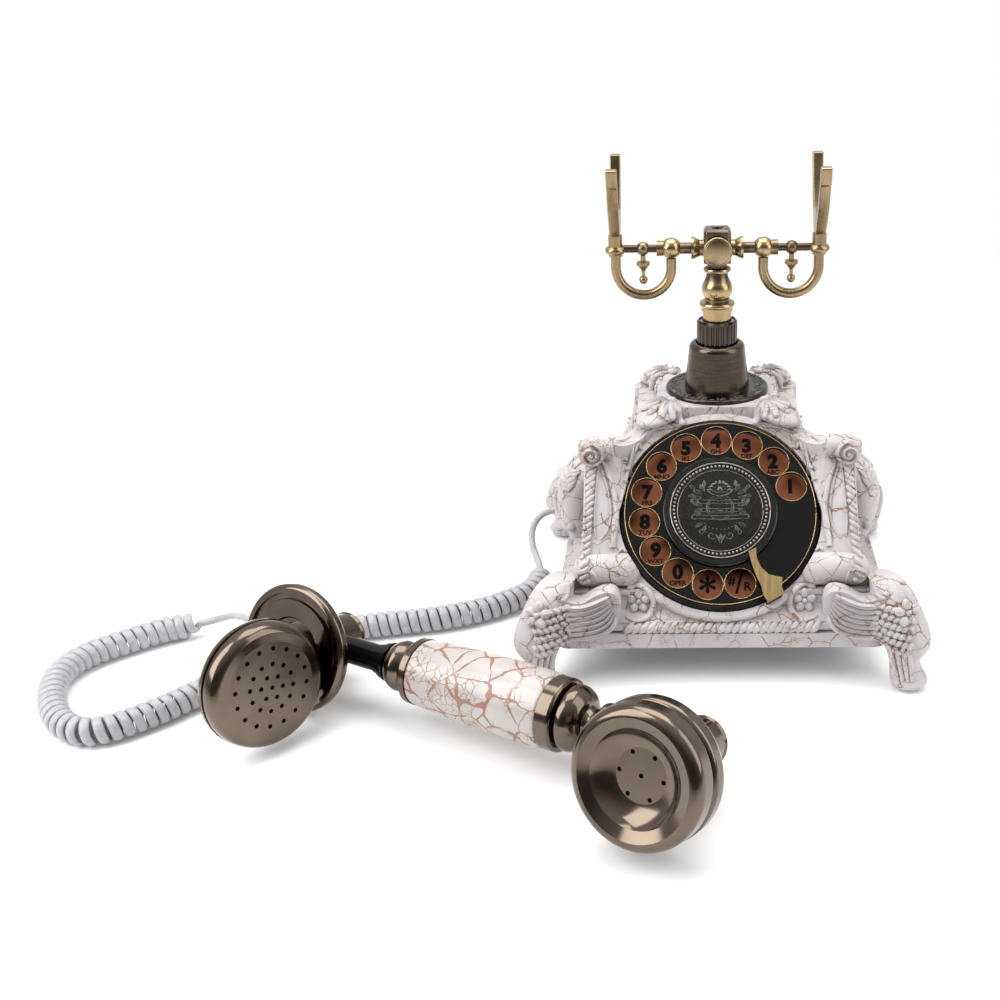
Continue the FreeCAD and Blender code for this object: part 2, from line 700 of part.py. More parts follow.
# Arms: trumpet, bar, large ball, collar, thin bar with a bead, up to the post
HALVES = (("left", -1), ("right", 1))
posts = []
finials = []
post_in = q.post_east - q.post_radius
for name, side in HALVES:
    arm = frame((0, 0, num(q.bar_height)), (side, 0, 0), (0, 0, 1))
    ball = q.ball_radius
    rod = q.bar_radius
    near = q.ball_east - 4.3
    far = q.ball_east + 3.6
    bead = q.post_east - 13.2
    turned(name + "_arm", [
        (0.0, hub), (q.trumpet_small, hub), (q.trumpet_small, hub + 2.0),
        (q.trumpet_wide, q.trumpet_end - 1.2), (q.trumpet_wide, q.trumpet_end),
        (rod, q.trumpet_end), (rod, near), (ball, q.ball_east, ball + 0.1), (q.post_ring + 1.7, far, ball + 0.1),
        (q.post_ring + 1.8, far + 3.4), (q.thin_bar, far + 3.4), (q.thin_bar, bead - 2.7),
        (q.bead_ball, bead, q.bead_ball + 0.1), (q.thin_bar, bead + 2.7, q.bead_ball + 0.1),
        (q.thin_bar, post_in), (0.0, post_in)], arm)

    # Hook pipe: down from the ball, round a half circle and up to the post
    lane = num(q.post_east - q.ball_east) / 2.0
    turn_z = num(q.bar_height - q.hook_drop)
    top_in = num(q.bar_height - q.ball_radius) + 0.35
    top_out = num(q.bar_height) - 3.3
    x_in = side * num(q.ball_east)
    x_out = side * num(q.post_east)
    x_mid = (x_in + x_out) / 2.0
    path = Part.Wire([
        Part.LineSegment(V(x_in, 0, top_in), V(x_in, 0, turn_z)).toShape(),
        Part.Arc(V(x_in, 0, turn_z), V(x_mid, 0, turn_z - lane), V(x_out, 0, turn_z)).toShape(),
        Part.LineSegment(V(x_out, 0, turn_z), V(x_out, 0, top_out)).toShape()])
    rim = Part.Wire(Part.makeCircle(num(q.hook_pipe), V(x_in, 0, top_in), V(0, 0, 1)))
    solid(name + "_hook", path.makePipeShell([rim], True, False))

    # Post: step, ring and socket that carries the fork
    post = frame((x_out, 0, 0), (0, 0, 1), (1, 0, 0))
    low = q.bar_height - 3.3
    posts.append(turned(name + "_post", [
        (0.0, low), (q.post_radius, low), (q.post_radius, low + 0.8), (q.post_radius + 0.1, low + 0.8),
        (q.post_radius + 0.1, low + 4.6, 1.95), (q.post_radius, low + 4.7), (q.post_radius, q.post_top),
        (0.0, q.post_top)], post))

    # Fork: a saddle with two prongs, seen along X, its edges chamfered
    top = q.post_top
    spread = q.fork_spread
    tip = q.fork_tip
    half_profile = [
        (4.2, top), (spread * 0.45, top + 5.0), (spread * 0.79, top + 15.5), (spread - 1.2, tip - 9.0),
        (spread + 0.6, tip - 8.2), (spread + 2.4, tip - 0.7), (spread + 1.7, tip), (spread - 2.6, tip),
        (spread - 4.6, tip - 8.8), (spread * 0.6, top + 18.5), (spread * 0.40, q.saddle_height - 1.8)]
    corners = [(size, height) for size, height in half_profile]
    corners.append((0.0, q.saddle_height, 11.0))
    mirror = [(-1 * size if isinstance(size, Size) else -size, height) for size, height in reversed(half_profile)]
    first_back = mirror[0]
    mirror[0] = (first_back[0], first_back[1], 11.0)
    fork_place = frame((x_out, 0, 0), (1, 0, 0), (0, 1, 0))
    padded(name + "_fork", corners + mirror, q.fork_thick, fork_place, both=True)

    # Finial that hangs under the bar inside the hook
    hang = frame((side * num(bead), 0, num(q.bar_height)), (0, 0, -1), (1, 0, 0))
    drop = q.bead_ball + 0.0
    finials.append(turned(name + "_finial", [
        (0.0, drop), (1.25, drop), (1.25, drop + 2.6), (3.2, drop + 3.2), (3.2, drop + 4.6),
        (0.95, drop + 7.6), (0.8, drop + 10.0), (q.finial_ball, drop + 12.0, q.finial_ball + 0.1),
        (0.3, drop + 12.0 + q.finial_ball, q.finial_ball + 0.1), (0.0, drop + 12.0 + q.finial_ball)], hang))
gathered("Part::Compound", "fork_posts", posts)
gathered("Part::Compound", "finials", finials)

# Moulded housing. Its front wall lies parallel to the dial
lean = math.sin(tilt) / math.cos(tilt)
top_z = num(q.block_under)
low_z = num(q.ledge_high)
wall = num(q.wall)


def rounded(half, front, rear, radius, height):
    """Closed wire of a rounded rectangle in a level plane, its front at -Y."""
    r = radius
    c = r * (1 - math.sqrt(0.5))
    x0, x1, y0, y1 = -half, half, -front, rear
    z = height
    return Part.Wire([
        Part.LineSegment(V(x0 + r, y0, z), V(x1 - r, y0, z)).toShape(),
        Part.Arc(V(x1 - r, y0, z), V(x1 - c, y0 + c, z), V(x1, y0 + r, z)).toShape(),
        Part.LineSegment(V(x1, y0 + r, z), V(x1, y1 - r, z)).toShape(),
        Part.Arc(V(x1, y1 - r, z), V(x1 - c, y1 - c, z), V(x1 - r, y1, z)).toShape(),
        Part.LineSegment(V(x1 - r, y1, z), V(x0 + r, y1, z)).toShape(),
        Part.Arc(V(x0 + r, y1, z), V(x0 + c, y1 - c, z), V(x0, y1 - r, z)).toShape(),
        Part.LineSegment(V(x0, y1 - r, z), V(x0, y0 + r, z)).toShape(),
        Part.Arc(V(x0, y0 + r, z), V(x0 + c, y0 + c, z), V(x0 + r, y0, z)).toShape()])


def section(height, inset, radius):
    """The upper body's outline at a height: concave sides, a sloping front and a steeper rear."""
    t = (top_z - height) / (top_z - low_z)
    sag = num(q.body_flare) * math.sin(math.pi * min(max(t, 0.0), 1.0))
    half = num(q.neck_half) + (num(q.waist_half) - num(q.neck_half)) * t - sag
    rear = num(q.neck_rear) + (num(q.waist_rear) - num(q.neck_rear)) * t - sag * 0.6
    front = num(q.neck_front) + (top_z - height) * lean
    return rounded(half - inset, front - inset / math.sin(tilt), rear - inset, radius, height)


def tier(half, front, rear, radius, low, high):
    """A level slab of the plinth."""
    return Part.Face(rounded(num(half), num(front), num(rear), radius, num(low))).extrude(
        V(0, 0, num(high) - num(low)))


heights = [low_z - 1.5 + (top_z + 0.5 - low_z + 1.5) * i / 6.0 for i in range(7)]
body = Part.makeLoft([section(h, 0.0, 4.0) for h in heights], True, False)

half = q.plinth_half
front = q.plinth_front
rear = q.plinth_rear
band = tier(half, front, rear, 6.0, q.plinth_under, q.band_top)
roll = (num(q.rope_top) - num(q.band_top)) / 2.0
rope = tier(half - 1.0, front - 1.0, rear - 1.0, 6.0, q.band_top, q.rope_top)
rope = rope.makeFillet(roll * 0.92, [e for e in rope.Edges if abs(e.BoundBox.ZMax - e.BoundBox.ZMin) < 1e-3])
core_low = tier(half - 2.6, front - 2.6, rear - 2.6, 5.0, q.band_top - 1.0, q.rope_top + 1.0)
skirt = Part.makeLoft([
    rounded(num(half) - 1.6, num(front) - 1.7, num(rear) - 1.6, 6.0, num(q.rope_top)),
    rounded(num(half) - 4.4, num(front) - 6.8, num(rear) - 4.0, 5.5, num(q.rope_top) + 4.0),
    rounded(num(half) - 4.0, num(front) - 9.4, num(rear) - 4.6, 5.0, num(q.ledge_low) - 1.6)], True, True)
ledge = tier(half - 1.6, front - 8.4, rear - 3.4, 4.0, q.ledge_low - 1.8, q.ledge_low)
step = tier(half - 5.5, front - 13.6, rear - 6.0, 3.5, q.ledge_low - 0.5, q.ledge_high)

# Square block on top with its cornice and four drooping corner leaves
cap = tier(q.block_half, q.block_front, q.block_rear, 3.0, q.block_under - 0.5, q.block_top)
cornice = tier(q.neck_half + 1.0, q.neck_front + 0.6, q.neck_rear + 0.6, 3.0, q.block_under - 1.6, q.block_under + 1.2)
parts = [band, rope, core_low, skirt, ledge, step, cap, cornice]


def oval(centre, size, turn=0.0, dip=0.0):
    """An ellipsoid turned about Z and dipped along its length."""
    ball = Part.makeSphere(1.0)
    shape = ball.transformGeometry(FreeCAD.Matrix(size[0], 0, 0, 0, 0, size[1], 0, 0, 0, 0, size[2], 0, 0, 0, 0, 1))
    shape.Placement = FreeCAD.Placement(V(*centre), FreeCAD.Rotation(V(0, 0, 1), turn).multiply(
        FreeCAD.Rotation(V(0, 1, 0), dip)))
    return shape


def smooth_loft(rows):
    """A closed body through level ellipses: height, centre x, centre y, half x, half y."""
    wires = []
    for z, cx, cy, rx, ry in rows:
        big = max(rx, ry)
        small = min(rx, ry)
        major = V(1, 0, 0) if rx >= ry else V(0, 1, 0)
        minor = V(0, 1, 0) if rx >= ry else V(-1, 0, 0)
        centre = V(cx, cy, z)
        ellipse = Part.Ellipse(centre + major * big, centre + minor * (small * 0.9999), centre)
        wires.append(Part.Wire(ellipse.toShape()))
    return Part.makeLoft(wires, True, False)


def fin(quads):
    """A ruled body through level four-sided sections."""
    wires = []
    for z, corners in quads:
        points = [V(x, y, z) for x, y in corners]
        wires.append(Part.makePolygon(points + [points[0]]))
    return Part.makeLoft(wires, True, True)


leaf_x = num(q.block_half) - 0.5
leaf_z = num(q.block_top) - 3.4
out = num(q.console_out)
roll_r = num(q.console_roll)
wide = num(q.console_width)
centre_y = (num(rear) - num(front)) / 2.0
pad_top = num(q.pad_height)
foot_x = num(q.foot_spread) - 4.0
foot_y = num(q.foot_reach) + centre_y
girth = num(q.foot_girth)
for ew in (-1, 1):
    for ns in (-1, 1):
        edge = num(q.block_front) if ns < 0 else num(q.block_rear)
        face_top = num(q.neck_front) if ns < 0 else num(q.neck_rear)
        run = (top_z - low_z) * lean if ns < 0 else num(q.waist_rear) - num(q.neck_rear)
        grip_y = face_top + 16.0 if ns < 0 else face_top + 11.0
        # Drooping leaf over the block's corner
        heading = math.degrees(math.atan2(ns * 1.0, ew * 0.9))
        a = math.radians(heading)
        centre = (ew * (leaf_x - 4.5) + 5.5 * math.cos(a), ns * (edge - 4.5) + 5.5 * math.sin(a), leaf_z)
        parts.append(oval(centre, (13.5, 9.0, 4.2), heading, 9.0))

        if ns < 0:
            # Console: a concave arm out to a roll, and a fin down to a bulb
            a0 = V(ew * (num(q.block_half) - 4), ns * (edge - 3), 0)
            a1 = V(ew * out, ns * grip_y, 0)
            along = (a1 - a0)
            length = along.Length
            along.normalize()
            cross = V(-along.y, along.x, 0)
            rolls_z = num(q.block_under) - 3.4
            start = a0 - cross * (wide * 0.45)

            def at(s, z):
                return start + along * s + V(0, 0, z)

            top_curve = Part.BSplineCurve()
            top_curve.interpolate([at(0, rolls_z + 8.5), at(length * 0.28, rolls_z + 3.2), at(length * 0.62, rolls_z - 1.2),
                                   at(length * 0.92, rolls_z + 3.6)])
            web = Part.Wire([top_curve.toShape(),
                             Part.LineSegment(at(length * 0.92, rolls_z + 3.6), at(length * 0.92, rolls_z - 6)).toShape(),
                             Part.LineSegment(at(length * 0.92, rolls_z - 6), at(0, rolls_z - 12)).toShape(),
                             Part.LineSegment(at(0, rolls_z - 12), at(0, rolls_z + 8.5)).toShape()])
            parts.append(Part.Face(web).extrude(cross * (wide * 0.9)))
            parts.append(Part.makeCylinder(roll_r, wide, V(ew * out - wide / 2.0, ns * grip_y, rolls_z), V(1, 0, 0)))
            rows = []
            for share in (0.0, 0.34, 0.68, 1.0):
                z = rolls_z + (low_z + 0.5 - rolls_z) * share
                face = face_top + (top_z - z) / (top_z - low_z) * run
                crest = grip_y + (face_top + run + 2.5 - grip_y) * share
                skin = num(q.neck_half) + (num(q.waist_half) - num(q.neck_half)) * (top_z - z) / (top_z - low_z)
                rows.append((z, [
                    (ew * (out + 6.0 + share), ns * (crest - 3.0)), (ew * (out + 5.0 + share), ns * (crest + 2.6)),
                    (ew * (out - 6.5 - 12.0 * share), ns * (max(crest - 3.0 + 2.0 * share, face + 0.6))),
                    (ew * (skin - 9.0), ns * (face - 12.0))]))
            parts.append(fin(rows))
            bulb_y = face_top + run - 1.5
            bulb_r = 7.6
            bulb = Part.makeCylinder(bulb_r, 16.0 + 2 * bulb_r, V(0, 0, -8.0 - bulb_r))
            bulb = bulb.makeFillet(bulb_r - 0.8, [e for e in bulb.Edges if e.Closed])
            bulb.Placement = frame((ew * 53.0, ns * bulb_y, low_z + 2.5), (1, 0, 0), (0, -ns, 0))
            parts.append(bulb)
        else:
            # Rounded pilaster up each rear corner
            parts.append(smooth_loft([
                (h, ew * (num(q.neck_half) + (num(q.waist_half) - num(q.neck_half)) * (top_z - h) / (top_z - low_z)
                          - num(q.body_flare) * math.sin(math.pi * (top_z - h) / (top_z - low_z)) - 3.2),
                 num(q.neck_rear) + (num(q.waist_rear) - num(q.neck_rear)) * (top_z - h) / (top_z - low_z) - 3.4,
                 swell, swell)
                for h, swell in ((low_z - 1.0, 7.4), (62.0, 5.4), (76.0, 4.8), (90.0, 5.2), (top_z - 0.2, 7.0))]))

        # Scrolled foot under the plinth's corner
        fx = ew * foot_x
        fy = centre_y + ns * foot_y
        parts.append(smooth_loft([
            (num(q.ledge_high) + 1.0, ew * (foot_x - 11.5), fy - ns * 13.0, girth, girth),
            (num(q.ledge_low) - 2.0, ew * (foot_x - 7.0), fy - ns * 8.0, girth + 3.4, girth + 2.8),
            (num(q.rope_top), ew * (foot_x - 3.4), fy - ns * 4.5, girth + 5.0, girth + 3.6),
            (num(q.plinth_under), ew * (foot_x - 0.4), fy - ns * 1.5, girth + 2.8, girth + 2.2),
            (num(q.plinth_under) * 0.5, ew * (foot_x - 0.6), fy - ns * 0.5, girth + 0.4, girth + 0.6),
            (4.0, ew * (foot_x + 0.8), fy + ns * 1.5, girth + 1.6, girth + 2.0),
            (pad_top, ew * foot_x, fy + ns * 1.5, girth, girth + 0.8)]))

    # Acanthus scroll on the side wall
    mid_y = centre_y - 4.0
    parts.append(smooth_loft([
        (num(q.ledge_low) - 1.0, ew * 67.0, mid_y + 3.0, 8.6, 21.0), (54.0, ew * 69.0, mid_y, 10.4, 20.0),
        (66.0, ew * 69.5, mid_y - 1.0, 11.4, 18.0), (76.0, ew * 67.0, mid_y - 2.0, 10.6, 16.0),
        (84.0, ew * 60.0, mid_y - 2.0, 9.6, 14.0), (90.0, ew * 50.0, mid_y - 2.0, 8.0, 11.0)]))

    # Wing on the plinth's front, its tip towards the middle
    wing = Part.BSplineCurve()
    wing_points = [(82, 21.5), (66, 23.0), (55, 25.5), (48.5, 31), (46.5, 39), (49, 47.5), (57, 47.0), (66, 42.5),
                   (74, 45.0), (83, 41.0), (88, 31.0)]
    wing.interpolate([V(ew * x, -num(front) + 7.5, z) for x, z in wing_points], PeriodicFlag=True)
    parts.append(Part.Face(Part.Wire(wing.toShape())).extrude(V(0, -9.0, 0)))

# Raised ring and pot that hold the dial
ring_out = num(q.bezel_radius + q.fit_gap + q.ring_width)
pot = Part.makeCylinder(ring_out, 16.0, V(0, 0, -19.0))
pot = pot.makeFillet(1.8, [e for e in pot.Edges if e.BoundBox.ZMin > -3.1])
pot.Placement = DIAL
parts.append(pot)

shell = parts[0].fuse(parts[1:6] + [body] + parts[6:8])
for extra in parts[8:]:
    shell = shell.fuse(extra)

# Hollow inside, open below
inner_rows = [section(h, wall * 1.25, 3.0) for h in (num(q.ledge_low) - wall - 1.0, 62.0, 78.0, num(nut_top))]
hollow = Part.makeLoft(inner_rows, True, True)
under = tier(half - wall - 3.4, front - wall - 9.0, rear - wall - 3.0, 4.0, q.plinth_under - 1, q.ledge_low - wall)
plate_bay = tier(half - wall, front - wall, rear - wall, 4.0, q.plinth_under - 1, q.plinth_under + 2.5)
shelf_z = num(floor_under)
bay = Part.makeCylinder(num(q.bezel_radius + q.fit_gap), 40.0, V(0, 0, shelf_z))
mouth = Part.makeCylinder(num(q.can_radius + q.fit_gap), 60.0, V(0, 0, -num(q.can_depth) - 14.0))
bay = bay.fuse(mouth)
bay.Placement = DIAL
shaft_hole = cylinder(q.tube_radius + q.run_gap, 0.0, 200.0)
housing = shell
for tool in (hollow, under, plate_bay, bay, shaft_hole):
    housing = housing.cut(tool)

# Notch in the raised ring for the finger stop's leg
notch = box(rim_out, rim_out + num(q.stop_thick) + 0.45, -4.2, 4.2, -num(q.bezel_back) - 3.5, 8.0)
notch.rotate(V(0, 0, 0), V(0, 0, 1), math.degrees(stop))
notch.Placement = DIAL.multiply(notch.Placement)
housing = housing.cut(notch)

# Openings for the line socket and the handset socket
housing = housing.cut(box(13.0 - 0.2, 27.2, num(rear) - 18.0, num(rear) + 9.0, 31.5 - 6.7, 31.5 + 6.7))
housing = housing.cut(box(-num(half) - 9.0, -num(half) + 17.0, 30.0 - 6.2, 30.0 + 6.2, 31.5 - 6.2, 31.5 + 6.2))

# Posts for the base plate's screws
plate_top_z = q.plinth_under + 2.5
screw_at = [(ew * (num(half) - 14.0), y) for ew in (-1, 1) for y in (-num(front) + 22.0, num(rear) - 14.0)]
posts = []
for x, y in screw_at:
    post = Part.makeCylinder(4.0, num(q.ledge_low) - num(plate_top_z) + 1.0, V(x, y, num(plate_top_z)))
    posts.append(post.cut(Part.makeCylinder(1.3, 12.0, V(x, y, num(plate_top_z) - 1))))
housing = housing.fuse(posts).removeSplitter()
print("housing solids", len(housing.Solids), "volume", round(housing.Volume), "faces", len(housing.Faces))
solid("housing", housing)

# Base plate, its screws and the pads under the feet
plate = tier(half - wall - q.seat_gap, front - wall - q.seat_gap, rear - wall - q.seat_gap, 3.8,
             q.plinth_under + 1.0, plate_top_z)
screws = []
for x, y in screw_at:
    plate = plate.cut(Part.makeCylinder(1.7, 20.0, V(x, y, 10.0)))
    low = num(q.plinth_under + 1.0)
    head = Part.makeCone(2.0, 2.9, 1.6, V(x, y, low - 1.6))
    screws.append(head.fuse(Part.makeCylinder(1.25, 9.0, V(x, y, low - 0.1))))
solid("base_plate", plate)
solid("base_plate_screws", Part.makeCompound(screws))
pads = []
for ew in (-1, 1):
    for ns in (-1, 1):
        pads.append(Part.makeCylinder(num(q.pad_radius), pad_top, V(
            ew * foot_x, centre_y + ns * (foot_y + 1.5), 0)))
solid("foot_pads", Part.makeCompound(pads))

# Main board on edge behind the column, with the hook switch on its front
board_y = 14.0
board_low = num(plate_top_z)
board = box(-34, 34, board_y, board_y + 1.6, board_low, 84.0)
for x in (-28.0, 28.0):
    for z in (32.0, 78.0):
        board = board.cut(Part.makeCylinder(1.6, 4.0, V(x, board_y - 1, z), V(0, 1, 0)))
chip = box(-30, -16, board_y - 2.0, board_y, 44, 58)
tall = Part.makeCylinder(4.0, 10.0, V(20, board_y, 50), V(0, -1, 0))
solid("main_board", board.fuse([chip, tall, box(16, 30, board_y - 6, board_y, 66, 76)]))
switch = box(-7, 7, -7, board_y, 60, q.plunger_under + 1.6)
switch = switch.cut(cylinder(q.plunger_radius + q.fit_gap * 2, q.plunger_under - q.press_travel - 1.5, 200))
solid("hook_switch", switch)

# Ringer: a sounder in its cup on the base plate
ringer_at = V(-44.0, 34.0, num(plate_top_z))
ringer = Part.makeCylinder(17.0, 9.0, ringer_at)
solid("ringer", ringer.cut(Part.makeCylinder(13.0, 4.0, ringer_at + V(0, 0, 6.5))))

# Line socket in the plinth's rear and handset socket in its left side
jack_z = 31.5
line = box(13.0, 27.0, num(rear) - 16.0, num(rear) - 2.6, jack_z - 6.5, jack_z + 6.5)
line_mouth = box(20 - 4.9, 20 + 4.9, num(rear) - 13.0, num(rear) + 5, jack_z - 3.4, jack_z + 3.4)
solid("line_socket", line.cut(line_mouth))
jack_y = 30.0
side = -num(half)
handset_jack = box(side + 2.6, side + 15.0, jack_y - 6.0, jack_y + 6.0, jack_z - 6.0, jack_z + 6.0)
plug_mouth = box(side - 5, side + 12.0, jack_y - 3.9, jack_y + 3.9, jack_z - 3.4, jack_z + 3.4)
solid("handset_socket", handset_jack.cut(plug_mouth))

# Handset: local X runs along the handle to the ear end, local Z is the way the heads face
rod_gap = q.tie_radius + q.fit_gap
grip = q.grip_half


def handle(x):
    """Frame of a piece turned about the handle, its zero at x."""
    return frame((num(x), 0, 0), (1, 0, 0), (0, 0, 1))


def head(x):
    """Frame of a piece turned about a head's own axis."""
    return frame((num(x), 0, 0), (0, 0, 1), (1, 0, 0))


made = len(NODES)
turned("grip", [
    (rod_gap, -grip), (q.grip_low - 1.0, -grip), (q.grip_low, -grip + 1.2, 1.3), (q.grip_mid, 6.0, 460.0),
    (q.grip_high - 0.4, grip - 1.2, 400.0), (q.grip_high - 1.6, grip, 1.3), (rod_gap, grip)], handle(0))
turned("ferrule_left", [
    (rod_gap, -grip - q.ferrule_long), (11.2, -grip - q.ferrule_long), (13.4, -grip - q.ferrule_long + 1.8, 2.3),
    (13.4, -grip - 3.2), (q.grip_low + 0.2, -grip - 2.8), (q.grip_low + 0.2, -grip), (rod_gap, -grip)], handle(0))
ball_out = -grip - q.ferrule_long
turned("ball_collar_left", [
    (rod_gap, ball_out - 12.0), (6.6, ball_out - 12.0), (11.6, ball_out - 5.6, 8.0), (8.4, ball_out, 8.0),
    (rod_gap, ball_out)], handle(0))
taper = ball_out - 12.0
taper_ring = turned("taper_ring_left", [
    (rod_gap, taper - 7.0), (6.9, taper - 7.0), (7.3, taper - 3.4), (8.4, taper - 3.2), (9.0, taper - 0.4),
    (8.6, taper), (rod_gap, taper)], handle(0))
tube = turned("tube_left", [
    (rod_gap, -q.head_out + q.barrel_radius - 0.2), (q.tube_pipe, -q.head_out + q.barrel_radius - 0.2),
    (q.tube_pipe, taper - 7.0), (rod_gap, taper - 7.0)], handle(0))
gathered("Part::MultiFuse", "handle_tube_left", [taper_ring, tube])
end = grip + q.ferrule_long + 1.0
turned("ferrule_right", [
    (rod_gap, grip), (q.grip_high - 0.6, grip), (q.grip_high - 0.6, grip + 5.6), (q.grip_high - 1.8, end, 1.6),
    (rod_gap, end)], handle(0))
rounded_collar = turned("rounded_collar", [
    (rod_gap, end), (12.4, end), (14.2, end + 2.0), (13.0, end + 7.2, 6.0), (8.2, end + 10.5, 7.0),
    (rod_gap, end + 10.5)], handle(0))
waist = end + 10.5
waisted = turned("waisted_tube", [
    (rod_gap, waist), (7.2, waist), (6.4, waist + 2.6, -5.0), (7.4, waist + 5.6, -6.0),
    (9.8, waist + 6.6), (9.8, waist + 9.2, 1.8), (7.2, waist + 10.2), (q.tube_pipe, waist + 12.0),
    (q.tube_pipe, q.ear_out - q.barrel_radius + 0.2), (rod_gap, q.ear_out - q.barrel_radius + 0.2)], handle(0))
gathered("Part::MultiFuse", "collar_right", [rounded_collar, waisted])
turned("tie_rod", [
    (0.0, -q.head_out + 4.5), (q.tie_radius, -q.head_out + 4.5), (q.tie_radius, q.ear_out - 4.5),
    (0.0, q.ear_out - 4.5)], handle(0))

# Barrels across the handle's ends, bored for the tie rod and seated on its tubes
disc_low = q.ring_face - q.ring_thick
ear_low = q.ear_face - q.ear_depth
end_caps = []
for label, where, high, sense in (("barrel_left", -q.head_out, disc_low, 1), ("barrel_right", q.ear_out, ear_low, -1)):
    barrel = cylinder(q.barrel_radius, -q.barrel_back, high)
    bore = Part.makeCylinder(num(q.tie_radius + q.run_gap), 30.0, V(0, 0, 0), V(sense, 0, 0))
    seat = Part.makeCylinder(num(q.tube_pipe + q.run_gap), 30.0, V(sense * num(q.barrel_radius - 0.2), 0, 0),
                             V(sense, 0, 0))
    bore = bore.cut(box(-4.4, 4.4, -40, 40, -40, 40))
    barrel = barrel.cut(bore).cut(seat)
    if sense > 0:
        barrel = barrel.cut(Part.makeCylinder(4.65, 9.0, V(0.9 - num(q.barrel_radius), 0, 0), V(-1, 0, 0)))
    solid(label, barrel, head(where))
    name = "end_cap" + label[6:]
    low = -q.barrel_back
    end_caps.append(turned(name, [
        (0.0, low - 1.6), (7.2, low - 1.6), (7.8, low - 2.8), (9.6, low - 2.8, 1.3), (q.barrel_radius + 0.6, low - 1.2, 1.6),
        (q.barrel_radius, low), (0.0, low)], head(where)))
gathered("Part::Compound", "end_caps", end_caps)

# Transmitter's round housing with its grooved rim
face = q.ring_face
big = q.ring_radius
ring = turned("grooved_disc", [
    (0.0, disc_low), (big - 8.0, disc_low), (big - 2.0, disc_low + 1.2), (big, disc_low + 3.4, 3.2),
    (big, disc_low + 4.8), (big - 1.8, face - 0.6, 2.4), (big - 3.6, face - 0.6), (big - 4.0, face - 2.2),
    (big - 6.4, face - 2.2), (big - 6.8, face - 0.8), (q.boss_radius + 3.0, face - 0.8),
    (q.boss_radius + 2.2, face - 1.8), (0.0, face - 1.8)], head(-q.head_out))
boss_low = face - 1.8
boss = turned("ring_boss", [
    (0.0, boss_low), (q.boss_radius, boss_low), (q.boss_radius, boss_low + q.boss_tall - 1.0),
    (q.boss_radius - 1.2, boss_low + q.boss_tall, 1.4), (0.0, boss_low + q.boss_tall)], head(-q.head_out))
drilled(boss, -3.0, 8.0, 1.9)
gathered("Part::MultiFuse", "ring_housing", [ring, boss])

# Mouthpiece, turned nearly square to the round housing on a short bent neck
mouth_way = V(0.9775, 0.0452, 0.230)
mouth_at = V(-num(q.head_out) + 18.8, -6.3, num(q.ring_face) + 30.0)
MOUTH = frame(mouth_at, mouth_way, (0, 0, 1))
m_r = q.mouth_radius
m_cap = -q.mouth_cap_tall
m_wall = q.mouth_wall
cup_points = [
    (0.0, -q.mouth_tall), (m_r * 0.36, -q.mouth_tall + 0.6), (m_r * 0.78, -q.mouth_tall + 4.2, 26.0),
    (m_r - 0.4, m_cap - 3.0, 11.0), (m_r, m_cap - 1.6), (m_r, m_cap)]
mouth_cup = turned("mouth_cup", cup_points + [
    (m_r - m_wall, m_cap), (m_r - m_wall - 0.4, m_cap - 3.0), (m_r * 0.74, -q.mouth_tall + 6.6),
    (m_r * 0.34, -q.mouth_tall + 2.8), (0.0, -q.mouth_tall + 2.4)], MOUTH)
cap = turned("mouth_cap", [
    (m_r - m_wall - 1.0, m_cap), (m_r - 0.6, m_cap), (m_r - 0.2, m_cap + 1.4), (m_r - 1.0, -2.6, 9.0),
    (m_r - 5.2, 0.0, 5.0), (m_r - 8.0, 0.4), (1.0, 0.9), (1.0, -1.1), (m_r - 8.0, -1.6),
    (m_r - 6.0, -2.6), (m_r - m_wall - 1.0, m_cap + 1.6)], MOUTH)
for count, ring_r in ((6, 5.2), (12, 10.4), (16, 17.2)):
    drilled(cap, ring_r, 0.0, 1.0, count, 360.0)
solid("microphone", cylinder(11.0, -num(q.mouth_cap_tall) - 3.0, -3.4), MOUTH)
neck_from = V(-num(q.head_out), -1.5, num(boss_low + q.boss_tall))
neck_to = V(-num(q.head_out) + 4.5, -6.0, num(q.ring_face) + 17.0)
way = neck_to - neck_from
stub = Part.makeCone(num(q.neck_pipe) + 1.2, num(q.neck_pipe), way.Length, V(0, 0, 0), V(0, 0, 1))
stub.Placement = frame(neck_from, way)
foot = box(-200, 0, -60, 60, num(boss_low + q.boss_tall) - 30, boss_low + q.boss_tall)
doc.recompute()
cup_wall = mouth_cup.Shape.copy()
cup_wall.Placement = MOUTH
neck = stub.cut(foot).cut(cup_wall)
neck = min(neck.Solids, key=lambda part: part.CenterOfMass.distanceToPoint(neck_from))
solid("mouth_neck", neck, FreeCAD.Placement())

# Receiver: back shell, speaker and dished cap
e_r = q.ear_radius
shell_top = q.ear_face - q.ear_cap_tall
turned("ear_shell", [
    (0.0, ear_low), (q.ear_shell - 8.0, ear_low), (q.ear_shell - 2.6, ear_low + 1.4, 12.0),
    (q.ear_shell, ear_low + 5.0, 4.6), (q.ear_shell, shell_top - 2.0), (q.ear_shell - 1.6, shell_top, 2.6),
    (q.ear_shell - 4.0, shell_top), (q.ear_shell - 4.0, ear_low + 4.0), (0.0, ear_low + 3.0)], head(q.ear_out))
dish = q.ear_face - 7.5
ear_cap = turned("ear_cap", [
    (e_r - 3.0, shell_top), (e_r - 1.4, shell_top), (e_r, shell_top + 2.4, 3.2), (e_r, q.ear_face - 5.0),
    (e_r - 4.6, q.ear_face, 4.8), (e_r - 9.0, q.ear_face - 2.2), (q.ear_flat, dish, -14.0), (0.95, dish),
    (0.95, dish - 1.6), (q.ear_flat + 1.0, dish - 1.6), (e_r - 3.0, q.ear_face - 6.5)], head(q.ear_out))
drilled(ear_cap, 9.6, 0.0, 0.95, 6, 360.0)
